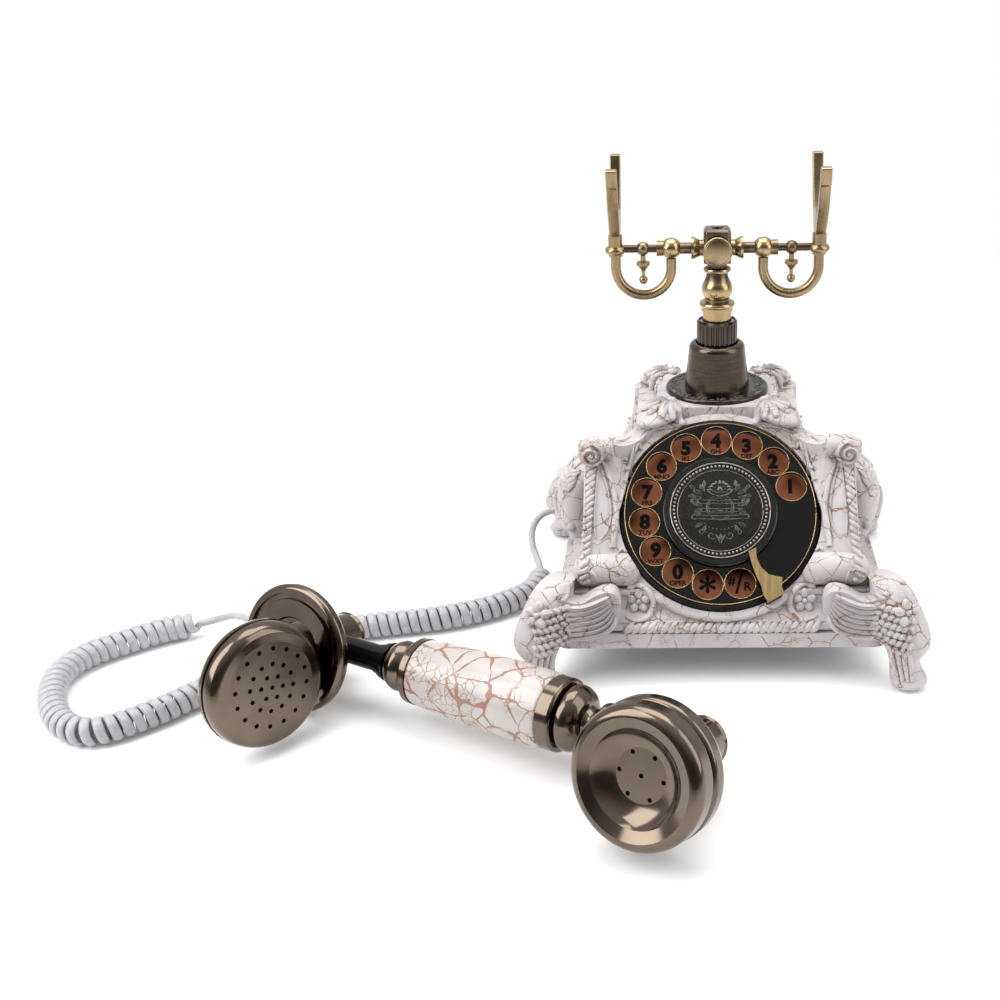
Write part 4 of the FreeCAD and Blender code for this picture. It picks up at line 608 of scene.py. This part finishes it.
carving = bmesh.new()


def rib(face, side, points, count, *shape):
    """A rib of the carving along a line over one face, mirrored to one side."""
    laid_rib(carving, draped(face, [(side * a, b) for a, b in points], count), *shape)


def raised(met, lift):
    """A place a little over the surface that was met."""
    return met[0] + met[1] * lift * MM


def flower(face, across, up, reach):
    """An open flower: five rounded petals with a vein, round a button."""
    place, normal = on_skin(face, across, up)
    side = upright_on(normal, (0, 1, 0))
    along = side.cross(normal)
    petals, lift = 5, 0.6
    for i in range(petals):
        turn = 2 * math.pi * i / petals
        lean = -turn if along.x > 0 else turn
        way = along * math.sin(turn) + side * math.cos(turn)
        spot = place + way * reach * 0.60 * MM + normal * lift * MM
        knob(carving, spot, normal, (reach * 0.36, reach * 0.46, reach * 0.24), lean)
        knob(carving, spot + way * reach * 0.12 * MM + normal * reach * 0.17 * MM, normal,
             (reach * 0.10, reach * 0.26, reach * 0.10), lean, (6, 4))
    button = reach * 0.22
    knob(carving, place + normal * (lift + reach * 0.16) * MM, normal, (button, button, button))


def curl(across, up, reach, start, turns, hand, inner=0.18):
    """Points of a scroll, from its open end in to its eye."""
    points = []
    steps = max(8, int(abs(turns) * 10))
    for i in range(steps + 1):
        share = i / steps
        angle = math.radians(start) + hand * turns * 2 * math.pi * share
        radius = reach * (1 - (1 - inner) * share)
        east, north = polar(radius, angle)
        points.append((across + east, up + north))
    return points


def scroll(face, side, points, wide, high, eye, count=26):
    """A C-shaped scroll that ends in a round eye."""
    rows = draped(face, [(side * a, b) for a, b in points], count)
    laid_rib(carving, rows, wide, high, (0.35, 0.8), 0.45)
    if rows:
        knob(carving, raised(rows[-1], 0.4), rows[-1][1], (eye, eye, eye * 0.8))


def acanthus(face, side, spine, reach, lobes, count=22, high=1.4):
    """A leaf: a rib down its middle and pairs of pointed lobes that bend back from it."""
    rows = draped(face, [(side * a, b) for a, b in spine], count)
    laid_rib(carving, rows, reach * 0.16, high, (0.5, 0.3), 0.3, 0.5)
    last = len(rows) - 1
    for lobe in range(lobes):
        at = int(last * (0.12 + 0.80 * lobe / lobes))
        place, normal = rows[at]
        ahead = (rows[min(at + 2, last)][0] - rows[max(at - 1, 0)][0]).normalized()
        across = ahead.cross(normal)
        size = reach * math.sin(math.pi * (0.25 + 0.7 * lobe / lobes))
        for hand in (-1, 1):
            tip_rows = []
            for share in [k / 6 for k in range(7)]:
                spot = (place + across * hand * size * MM * share
                        + ahead * size * MM * (0.75 * share * share)
                        + normal * (0.5 + 0.5 * math.sin(math.pi * share)) * MM)
                tip_rows.append((spot, normal))
            laid_rib(carving, tip_rows, size * 0.30, high * 0.8, (0.6, 0.15), 0.35)


# Lines of the front, in millimetres from the middle and over the table
WING_TOP = [(73.5, 41.5), (69.5, 40.6), (65.5, 40.0), (60.0, 41.8), (54.5, 44.6), (50.5, 46.2)]
WING_LOW = [(73.0, 23.8), (66.5, 24.4), (59.5, 25.2), (53.0, 27.8), (49.6, 32.2), (48.4, 37.5)]
CONSOLE_ARCS = (([(57.5, 97), (52.0, 88), (48.9, 77), (48.6, 66), (51.5, 57)], 1.35),
                ([(55.6, 95), (50.6, 87), (47.3, 77), (47.0, 66), (49.6, 56)], 0.8),
                ([(41, 99), (43.2, 87), (43.8, 74), (43.0, 62), (45.0, 53)], 1.2))
LENS_PANEL = ([(56.8, 92.5), (53.0, 84.0), (51.2, 75.0), (51.6, 65.5), (57.5, 63.2)],
              [(57.6, 92.5), (58.6, 80.0), (59.6, 66.5), (57.5, 63.2)])
S_MOULDING = [(37, 102), (41.5, 92), (47, 80), (50.5, 68), (50, 58), (57, 50.5), (66, 50.0),
              (70.5, 54)]
SMALL_PANEL = [(20, 103.0), (35, 103.0), (37.5, 102), (38.5, 95), (36.8, 92.4), (33, 92.6)]
FEATHERS, SCALE_ROWS, SCALES = 7, 7, 6
TOE_LEAVES, TWISTS, FOLIAGE = 4, 19, 9


def wing(face, side):
    """Feathers over the wing and its shoulder, with the flowers and scrolls round them."""
    for share in [k / (FEATHERS - 1) for k in range(FEATHERS)]:
        feather = [(top_a + (low_a - top_a) * share, top_b + (low_b - top_b) * share)
                   for (top_a, top_b), (low_a, low_b) in zip(WING_TOP, WING_LOW)]
        rib(face, side, feather, 26, 1.55, 2.0 - 0.6 * share, (0.7, 0.35), 0.75, 0.5)
        shaft = [(a, b + 1.15) for a, b in feather[1:]]
        rib(face, side, shaft, 20, 0.35, 2.2, (0.6, 0.3), 0.6, 0.9, 6)
    for row in range(SCALE_ROWS):
        for k in range(SCALES):
            out = (row + 0.5 * (k % 2)) / SCALE_ROWS
            rise = k / (SCALES - 1)
            lean = side * (0.35 + 0.5 * out)
            met = on_skin(face, side * (69.5 + 17.0 * out),
                          24.5 + 17.0 * rise - 4.0 * out * (1 - rise) - 3.0 * rise * out)
            if met:
                knob(carving, raised(met, 0.5), met[1], (2.1, 1.45, 1.25), lean, (8, 6))
                knob(carving, raised(met, 1.3), met[1], (1.3, 0.5, 0.8), lean, (6, 4))
    scroll(face, side, curl(63.0, 50.0, 6.2, -150, 1.15, -1), 1.0, 1.2, 1.5)
    scroll(face, side, curl(73.5, 46.5, 5.4, 20, 1.0, 1), 1.0, 1.2, 1.4)
    flower(face, side * 84.0, 38.5, 6.4)
    flower(face, side * 38.5, 38.6, 5.6)
    scroll(face, side, curl(38.5, 38.6, 8.6, -35, 0.78, -1, 0.80), 1.5, 2.0, 1.9)
    for k in range(TOE_LEAVES):
        leaf = [(76.5 + 2.6 * k, 24.5 + 0.8 * k), (78.6 + 2.4 * k, 17.5), (80.2 + 2.2 * k, 10.5),
                (81.5 + 1.9 * k, 4.5)]
        rib(face, side, leaf, 14, 1.35, 1.5, (0.6, 0.5), 0.5, 0.25)


def console(face, side):
    """The console's twisted edge, fluted arcs, foliage and lens-shaped panel."""
    for k in range(TWISTS):
        up = 97.5 - 2.55 * k
        edge = 60.2 + 3.0 * k / 18.0
        strand = [on_skin(face, side * (edge - 1.9 + 3.8 * share), up + 1.5 - 3.0 * share)
                  for share in (0.0, 0.25, 0.5, 0.75, 1.0)]
        laid_rib(carving, [row for row in strand if row], 1.35, 1.5, (0.6, 0.6), 0.5, 0.35)
    for arc, wide in CONSOLE_ARCS:
        rib(face, side, arc, 30, wide, wide * 1.35, (0.5, 0.6), 0.6, 0.3)
    for k in range(FOLIAGE):
        met = on_skin(face, side * (45.6 + 0.3 * math.cos(k * 3.1)), 92.0 - 4.1 * k)
        if met:
            for hand in (-1, 1):
                knob(carving, raised(met, 0.4) + Vector((hand * 0.9 * MM, 0, 0)), met[1],
                     (0.75, 1.7, 1.1), hand * 0.7, (8, 5))
    for edge in LENS_PANEL:
        rib(face, side, edge, 20, 0.55, 0.9, (0.8, 0.8), 0.5, 0.2, 6)


for side in (-1, 1):
    for face in ("front", "rear"):
        wing(face, side)
        console(face, side)
        if face == "front":
            rib(face, side, S_MOULDING, 44, 1.5, 1.9, (0.4, 1.0), 0.8)
        rib(face, side, SMALL_PANEL, 22, 0.8, 0.9, (0.8, 0.5), 0.5)
# Leaf scrolls along each side of the housing
for face in ("east", "west"):
    for ns in (-1, 1):
        scroll(face, 1, curl(ns * 30 - 8, 60.0, 13.0, 90 + ns * 40, 0.95, ns), 1.9, 2.2, 2.6, 32)
        scroll(face, 1, curl(ns * 22 - 8, 86.0, 9.0, -90, 1.0, -ns), 1.5, 1.8, 2.2, 28)
        spine = [(ns * 46 - 8, 52), (ns * 38 - 8, 66), (ns * 26 - 8, 78), (ns * 20 - 8, 96)]
        acanthus(face, 1, spine, 6.5, 6)
# Rosettes and leaves on the square block
for face in ("rear", "east", "west"):
    for side in (-1, 1):
        scroll(face, side, curl(15.0, 106.8, 3.6, 180, 0.95, -1), 0.9, 1.1, 1.2, 18)
        acanthus(face, side, [(6, 106.5), (10, 108.2), (14, 107)], 2.2, 3, 12, 0.9)


def volute(middle, long, reach):
    """A rolled scroll lying across the front, with a spiral on each end."""
    sections = []
    for share in [i / 12 for i in range(13)]:
        place = middle + Vector((long * (share - 0.5) * MM, 0, 0))
        waist = reach * (1.0 - 0.16 * math.sin(math.pi * share)) * MM
        sections.append(section_at(place, EAST, UPWARD, waist, waist))
    grow(carving, sections, 20)
    for end in (-1, 1):
        outward = Vector((end, 0, 0))
        spiral = []
        for share in [i / 33 for i in range(34)]:
            angle = share * 2.1 * 2 * math.pi
            radius = reach * (0.96 - 0.82 * share)
            spiral.append((middle + Vector((end * (long / 2 + 0.1), radius * math.cos(angle),
                                            radius * math.sin(angle))) * MM, outward))
        laid_rib(carving, spiral, 0.62, 0.9, (0.8, 0.8), 0.5, 0.0, 6)
        knob(carving, middle + Vector((end * long / 2, 0, 0)) * MM, outward, (1.2, 1.2, 1.3))


def front_volute(middle, reach):
    """The console's roll as seen from the front: a boss with a spiral that winds in to its eye."""
    knob(carving, middle, FORWARD, (reach, reach, 3.0), 0.0, (20, 10))
    hand = math.copysign(1.0, middle.x - column_at.x)
    spiral = []
    for share in [i / 47 for i in range(48)]:
        angle = math.pi * 0.5 + share * 3.6 * math.pi
        radius = reach * (0.93 - 0.78 * share)
        spiral.append((middle + Vector((hand * radius * math.cos(angle), -2.2 - 0.9 * share,
                                        radius * math.sin(angle))) * MM, FORWARD))
    laid_rib(carving, spiral, 0.75, 1.5, (0.9, 0.7), 0.5, 0.0, 8)
    knob(carving, middle + Vector((0, -3.4, 0)) * MM, FORWARD, (1.2, 1.2, 0.9))


def palmette(east, north, heading, reach):
    """An acanthus fan over the block's corner: long lobes with rounded tips and side leaves."""
    lobes = 7
    for k in range(lobes):
        spread = math.radians((k - (lobes - 1) / 2) * 132.0 / (lobes - 1))
        length = reach * (0.72 + 0.28 * math.cos(spread * 1.3))
        rows = []
        for share in [i / 11 for i in range(12)]:
            turn = heading + spread * (0.75 + 0.25 * share)
            aside, away = polar(length * share, turn)
            met = on_skin("top", east + aside, north + away)
            if met is None or met[0].z < BLOCK_SIDES:
                break
            rows.append(met)
        laid_rib(carving, rows, 2.3, 1.9, (0.30, 0.75), 0.78, 0.2, 8)
        laid_rib(carving, rows[2:], 0.5, 2.4, (0.5, 0.3), 0.5, 0.5, 6)
        if len(rows) > 8:
            knob(carving, raised(rows[-1], 0.2), rows[-1][1], (1.9, 1.9, 1.5), 0.0, (8, 5))
            for hand in (-1, 1):
                across = (rows[7][0] - rows[6][0]).normalized().cross(rows[6][1]) * hand * 1.9 * MM
                knob(carving, rows[6][0] + across + rows[6][1] * 0.2 * MM, rows[6][1],
                     (1.2, 1.2, 1.0), 0.0, (8, 5))
    met = on_skin("top", east, north)
    knob(carving, raised(met, 0.5), met[1], (2.6, 2.6, 1.6))


for side in (-1, 1):
    volute(here(side * 58.5, -51.5, 99.0), 14.5, 5.0)
    front_volute(here(side * 60.3, -55.6, 98.4), 6.4)
    for ns in (-1, 1):
        palmette(side * 22.5, ns * 21.5, math.atan2(ns * 1.0, side * 0.9), 15.5)
settle("housing_carving", carving, RESIN, "phone_base", sharp_from=60.0)

# Twisted rope round the plinth
ROPE_PITCH = 3.3
rope = bmesh.new()
for face, reach, middle in (("front", 45.5, 0.0), ("rear", 66.0, 0.0),
                            ("east", 62.0, -8.0), ("west", 62.0, -8.0)):
    for k in range(int(reach * 2 / ROPE_PITCH)):
        across = middle - reach + ROPE_PITCH * k
        rows = []
        for share in (0.0, 0.2, 0.4, 0.6, 0.8, 1.0):
            met = on_skin(face, across + 5.2 * share, 25.8 + 5.0 * share)
            if met:
                rows.append((met[0] + met[1] * 0.9 * math.sin(math.pi * share) * MM, met[1]))
        laid_rib(rope, rows, 1.75, 1.3, (0.55, 0.55), 0.5)
settle("plinth_rope", rope, RESIN, "phone_base", sharp_from=60.0)


# -------------------------------------------------------------------- dial
DIAL_TILT = math.radians(43.4)
DIAL_OUT = Vector((0, -math.cos(DIAL_TILT), math.sin(DIAL_TILT)))
DIAL_UP = DIAL_OUT.cross(EAST)
DIAL_FRAME = (Matrix.Translation(DIAL_CENTRE)
              @ Matrix((EAST, DIAL_UP, DIAL_OUT)).transposed().to_4x4())
WHEEL_RIM = 45.0
HOLE_RING = 36.0
HOLE_RADIUS = 7.2
FIRST_HOLE = 20.0
HOLE_STEP = 24.0
PRINT_OUT = -7.2 + 0.03
MEDAL_CROWN = 2.72
LABELS = [("1", ""), ("2", "ABC"), ("3", "DEF"), ("4", "GHI"), ("5", "JKL"), ("6", "MNO"),
          ("7", "PRS"), ("8", "TUV"), ("9", "WXY"), ("0", "OPER"), ("*", ""), ("#/R", "")]
# Letters of a place on the dial: words, height, way right, way up, added thickness
PRINTS = {"#/R": [("#", 4.0, -3.6, 3.0, 0.16), ("/", 11.0, -0.1, 1.8, 0.10),
                  ("R", 4.2, 3.6, 0.2, 0.18)],
          "*": [("*", 13.0, 0.0, -1.6, 0.30)]}


def dial_place(right, up, out):
    """A place measured from the dial's centre, on its own tilted frame."""
    return DIAL_FRAME @ (Vector((right, up, out)) * MM)


def hole_at(index):
    """The middle of a finger hole, with the wheel at rest."""
    return polar(HOLE_RING, math.radians(FIRST_HOLE + HOLE_STEP * index))


def printed(maker, words, tall, right, up, thicken):
    """Flat letters printed on the number plate."""
    text = bpy.data.curves.new("print", "FONT")
    text.body = words
    text.size = tall * MM / 0.72
    text.align_x = "CENTER"
    text.align_y = "CENTER"
    text.offset = thicken * MM
    text.extrude = 0.03 * MM
    text.resolution_u = 6
    flat = bpy.data.objects.new("print", text)
    mesh = bpy.data.meshes.new_from_object(flat)
    mesh.transform(DIAL_FRAME @ Matrix.Translation(Vector((right, up, PRINT_OUT)) * MM))
    maker.from_mesh(mesh)
    bpy.data.objects.remove(flat)
    bpy.data.curves.remove(text)
    bpy.data.meshes.remove(mesh)


digits = bmesh.new()
for index, (digit, letters) in enumerate(LABELS):
    right, up = hole_at(index)
    for words, tall, aside, above, thicken in PRINTS.get(digit, [(digit, 6.8, 0.0, 2.3, 0.50)]):
        printed(digits, words, tall, right + aside, up + above, thicken)
    if letters:
        printed(digits, letters, 2.3, right, up - 2.9, 0.12)
settle("dial_digits", digits, INK, "phone_base", sharp_from=20.0)


def round_line(maker, right, up, radius, out, thick, steps):
    """A thin ring on the dial's own frame."""
    sections = []
    for i in range(steps + 1):
        angle = 2 * math.pi * i / steps
        way = EAST * math.cos(angle) + DIAL_UP * math.sin(angle)
        ahead = DIAL_UP * math.cos(angle) - EAST * math.sin(angle)
        sections.append(section_at(dial_place(right, up, out) + way * radius * MM, ahead, DIAL_OUT,
                                   thick * MM, thick * MM))
    grow(maker, sections, 8)


# Brass lines round the finger holes and the wheel's rim
edging = bmesh.new()
for index in range(len(LABELS)):
    round_line(edging, *hole_at(index), HOLE_RADIUS + 0.05, 0.0, 0.15, 40)
round_line(edging, 0, 0, WHEEL_RIM, 0.0, 0.20, 120)
settle("wheel_edging", edging, BRIGHT_BRASS, "dial")

# A row of beads between two plain rings round the medallion
BEADS, BEAD_RING, BEAD_RADIUS, BEADS_OUT = 72, 21.7, 0.74, 2.85
beads = bmesh.new()
for i in range(BEADS):
    place = dial_place(*polar(BEAD_RING, 2 * math.pi * i / BEADS), BEADS_OUT)
    ball = bmesh.new()
    bmesh.ops.create_uvsphere(ball, u_segments=8, v_segments=5, radius=1.0,
                              matrix=Matrix.Translation(place) @ Matrix.Scale(BEAD_RADIUS * MM, 4))
    add(beads, ball)
round_line(beads, 0, 0, 23.4, 2.9, 0.35, 96)
round_line(beads, 0, 0, 20.1, 2.15, 0.22, 96)
settle("medallion_beads", beads, BEAD_NICKEL, "dial")

relief = bmesh.new()


def on_medal(right, up):
    """A place on the medallion's slightly domed field."""
    return dial_place(right, up, MEDAL_CROWN - 0.6 * math.hypot(right, up) / 20.0)


def engraved(points, wide=0.42, high=0.35, count=20):
    """A thin raised line on the medallion and its mirror image."""
    line = evenly_spread(points, count)
    for hand in (-1, 1):
        laid_rib(relief, [(on_medal(hand * p.x / MM, p.y / MM), DIAL_OUT) for p in line],
                 wide, high, (0.5, 0.4), 0.5, 0.0, 6)


def small_leaf(right, up, turn, reach):
    """A pointed leaf with a vein on the medallion."""
    way = polar(1.0, math.radians(turn))
    off = (-way[1], way[0])
    for bend in (-0.22, 0.0, 0.22):
        points = [(right, up),
                  (right + way[0] * reach * 0.5 + off[0] * reach * bend * 1.6,
                   up + way[1] * reach * 0.5 + off[1] * reach * bend * 1.6),
                  (right + way[0] * reach, up + way[1] * reach)]
        engraved(points, 0.34 if bend else 0.24, 0.30, 9)


def medal_bead(right, up, wide=0.55, tall=0.45, high=0.4, turn=0.0, detail=(6, 4)):
    """A small bead or petal on the medallion."""
    knob(relief, on_medal(right, up), DIAL_OUT, (wide, tall, high), turn, detail)


# Oval frame in the middle, with two lines and short strokes above it
oval = [(6.4 * math.cos(turn), 1.2 + 6.2 * math.sin(turn))
        for turn in [math.radians(-90 + 18 * k) for k in range(11)]]
engraved(oval, 0.38, 0.42, 30)
engraved([(a * 0.86, 1.2 + (b - 1.2) * 0.86) for a, b in oval], 0.20, 0.30, 30)
for k in range(5):
    engraved([(0.2 + 1.1 * k, 6.2 - 0.35 * k), (0.9 + 1.0 * k, 5.2 - 0.3 * k)], 0.22, 0.3, 6)
for leaf in ((8.2, 2.2, 15, 4.0), (8.4, 0.6, -20, 4.0), (9.0, -1.6, -10, 3.6),
             (8.6, -6.2, -35, 3.8), (7.0, -7.6, -70, 3.6), (12.6, 3.0, 70, 3.0)):
    small_leaf(*leaf)
# Crest of petals round a boss, with sprays of leaves at its sides
for k in range(9):
    turn = math.radians(90 + (k - 4) * 24)
    medal_bead(4.6 * math.cos(turn), 10.4 + 3.4 * math.sin(turn), 0.75, 1.5, 0.5,
               -(turn - math.pi / 2), (8, 5))
engraved([(0.2, 6.8), (4.8, 7.4), (6.2, 10.6)], 0.5, 0.4)
engraved([(0.1, 8.4), (3.2, 8.8), (4.4, 10.2)], 0.35, 0.3)
medal_bead(0, 10.4, 1.5, 1.5, 0.7, detail=(10, 6))
for k in range(7):
    turn = 2 * math.pi * k / 7
    medal_bead(2.5 * math.cos(turn), 10.4 + 1.6 * math.sin(turn), 0.5, 0.5)
for leaf in ((7.2, 9.2, 60, 4.4), (8.4, 8.0, 25, 4.6), (8.6, 6.4, -12, 4.4), (7.6, 11.4, 95, 3.6),
             (10.2, 5.0, -50, 3.6), (11.6, 10.2, 40, 3.6), (11.4, 7.2, 0, 3.6)):
    small_leaf(*leaf)
# Plain ribbons with rolled ends, and rows of beads
for up, reach in ((4.6, 9.6), (2.9, 10.4), (0.4, 8.6), (-1.3, 9.4), (-3.0, 11.2), (-4.7, 10.4)):
    engraved([(0.0, up), (reach * 0.5, up + 0.1), (reach, up + 0.5)], 0.4, 0.35, 14)
for up in (4.2, -3.4):
    engraved([(10.5, up + 0.7), (12.4, up + 1.6), (13.6, up), (12.4, up - 1.4),
              (10.8, up - 0.6)], 0.45, 0.4)
for k in range(6):
    medal_bead(-5.0 + 2.0 * k, 3.75)
    medal_bead(-5.0 + 2.0 * k, -0.45)
for k in range(11):
    turn = math.radians(200 + 14 * k)
    medal_bead(8.0 * math.cos(turn), -5.0 + 4.6 * math.sin(turn), 0.45)
# Scrolls and a leaf at the foot
engraved(curl(4.2, -12.4, 2.2, 200, 1.1, 1), 0.38, 0.35, 24)
engraved(curl(8.6, -11.0, 2.0, 180, 1.0, -1), 0.38, 0.35, 22)
engraved([(0.1, -16.4), (1.2, -14.2), (1.8, -12.4), (2.4, -11.8)], 0.42, 0.38)
small_leaf(0.0, -11.2, 270, 4.6)
small_leaf(0.2, -12.0, 250, 3.6)
settle("medallion_relief", relief, RELIEF_NICKEL, "dial")

# ------------------------------------------------------- cradle and stand
flange_skin = skin_of("stand_flange")
OVER_THE_FLANGE = 140


def on_flange(radius, angle):
    """The flange's upper face, and the way it faces there."""
    return flange_skin.ray_cast(here(*polar(radius, angle), OVER_THE_FLANGE), -UPWARD)[:2]


# Etched scrolls on the flange under the cup
MOTIFS, ETCHED_RING = 14, 21.6
etching = bmesh.new()
for k in range(MOTIFS):
    middle = 2 * math.pi * k / MOTIFS
    for hand in (-1, 1):
        rows = []
        for share in [i / 15 for i in range(16)]:
            turn = share * 1.35 * 2 * math.pi
            reach = 1.9 - 1.2 * share
            rows.append(on_flange(ETCHED_RING + hand * 0.9 + reach * math.sin(turn) * 0.9,
                                  middle + hand * (0.10 + reach * math.cos(turn) / 21.0)))
        laid_rib(etching, rows, 0.34, 0.26, (0.6, 0.6), 0.5, 0.0, 6)
    for share in (-0.8, 0.0, 0.8):
        place, normal = on_flange(ETCHED_RING + share * 2.2, middle + math.pi / MOTIFS)
        knob(etching, place, normal, (0.55, 0.75, 0.35), 0.0, (8, 5))
settle("flange_etching", etching, RELIEF_NICKEL, "phone_base")


def rounded_over(node, body, material, reach):
    """A node's own shape with its sharp edges rounded over."""
    shape = bmesh.new()
    shape.from_mesh(nodes[node].data)
    bmesh.ops.remove_doubles(shape, verts=shape.verts[:], dist=0.002 * MM)
    bmesh.ops.dissolve_limit(shape, angle_limit=math.radians(2.0), verts=shape.verts[:],
                             edges=shape.edges[:])
    sharp = [edge for edge in shape.edges
             if len(edge.link_faces) == 2 and edge.calc_face_angle(0.0) > math.radians(24.0)]
    bmesh.ops.bevel(shape, geom=sharp, offset=reach * MM, offset_type="OFFSET", segments=3,
                    profile=0.5, affect="EDGES", clamp_overlap=True, material=-1)
    bmesh.ops.triangulate(shape, faces=[face for face in shape.faces if len(face.verts) > 4])
    settle(node + "_rounded", shape, material, body, (node,), sharp_from=45.0)


for fork in ("left_fork", "right_fork"):
    rounded_over(fork, "cradle", BRASS, 1.0)
rounded_over("cross_hub", "cradle", HUB_BRASS, 0.7)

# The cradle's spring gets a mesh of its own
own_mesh(nodes["cradle_spring"])


# ------------------------------------------------------------ floor, light
def pale_ground(name):
    """A plain pale floor with a soft shadow, white far away to the camera, metal and glass."""
    ground = Finish(name, (0.93, 0.93, 0.93), 0.9)
    path = ground.node("LightPath").outputs
    seen = ground.sums("MAXIMUM", path["Is Camera Ray"], path["Is Glossy Ray"])
    seen = ground.sums("MAXIMUM", seen, path["Is Transmission Ray"])
    away = ground.vectors("DISTANCE", ground.where, {1: tuple(column_at)})["Value"]
    glow = ground.node("Emission", {"Color": (1.0, 1.0, 1.0, 1.0), "Strength": 1.0})
    share = ground.sums("MULTIPLY", seen, ground.ramp(away, 0.30, 0.85, 0.10, 1.0))
    both = ground.node("MixShader", {0: share, 1: ground.shader.outputs[0], 2: glow.outputs[0]})
    ground.tree.links.new(both.outputs[0],
                          ground.tree.nodes["Material Output"].inputs["Surface"])
    return ground.material


FLOOR_HALF = 8.0
floor_maker = bmesh.new()
bmesh.ops.create_grid(floor_maker, x_segments=1, y_segments=1, size=FLOOR_HALF)
floor_data = bpy.data.meshes.new("floor")
floor_maker.to_mesh(floor_data)
floor_maker.free()
floor_data.materials.append(pale_ground("pale_floor"))
floor = linked("floor", floor_data)
floor.location.z = -0.2 * MM


def studio():
    """White to the camera; round the object brighter above and behind, darker behind the camera."""
    world = bpy.data.worlds.new("studio")
    bpy.context.scene.world = world
    world.use_nodes = True
    sky = Tree(world.node_tree)
    ways = sky.node("SeparateXYZ", {0: sky.node("TexCoord").outputs["Generated"]}).outputs
    behind = sky.node("MapRange", {"Value": ways["Y"], "From Min": -0.9, "From Max": 0.5,
                                   "To Min": 0.14, "To Max": 0.80}).outputs[0]
    above = sky.node("MapRange", {"Value": ways["Z"], "From Min": 0.45, "From Max": 0.9,
                                  "To Min": 0.0, "To Max": 0.45}).outputs[0]
    to_camera = sky.node("LightPath").outputs["Is Camera Ray"]
    strength = sky.node("Mix", {0: to_camera, 2: sky.sums("ADD", behind, above), 3: 1.0},
                        data_type="FLOAT").outputs[0]
    background = world.node_tree.nodes["Background"]
    background.inputs["Color"].default_value = (1.0, 1.0, 1.0, 1.0)
    world.node_tree.links.new(strength, background.inputs["Strength"])


def soft_lamp(name, place, aim, wide, tall, power):
    """A rectangular lamp at a place, turned to what it aims at."""
    lamp_data = bpy.data.lights.new(name, "AREA")
    lamp_data.shape = "RECTANGLE"
    lamp_data.size = wide
    lamp_data.size_y = tall
    lamp_data.energy = power
    lamp = linked(name, lamp_data)
    lamp.location = here(*place)
    lamp.rotation_euler = (here(*aim) - here(*place)).to_track_quat("-Z", "Y").to_euler()


studio()
soft_lamp("left_softbox", (-700, -350, 620), (-60, -40, 60), 0.55, 0.80, 7.6)
soft_lamp("right_softbox", (620, -250, 480), (0, -30, 70), 0.45, 0.80, 3.0)
soft_lamp("top_softbox", (-60, 120, 900), (-60, -40, 40), 0.80, 0.60, 6.4)

bpy.context.scene.view_settings.view_transform = "Standard"
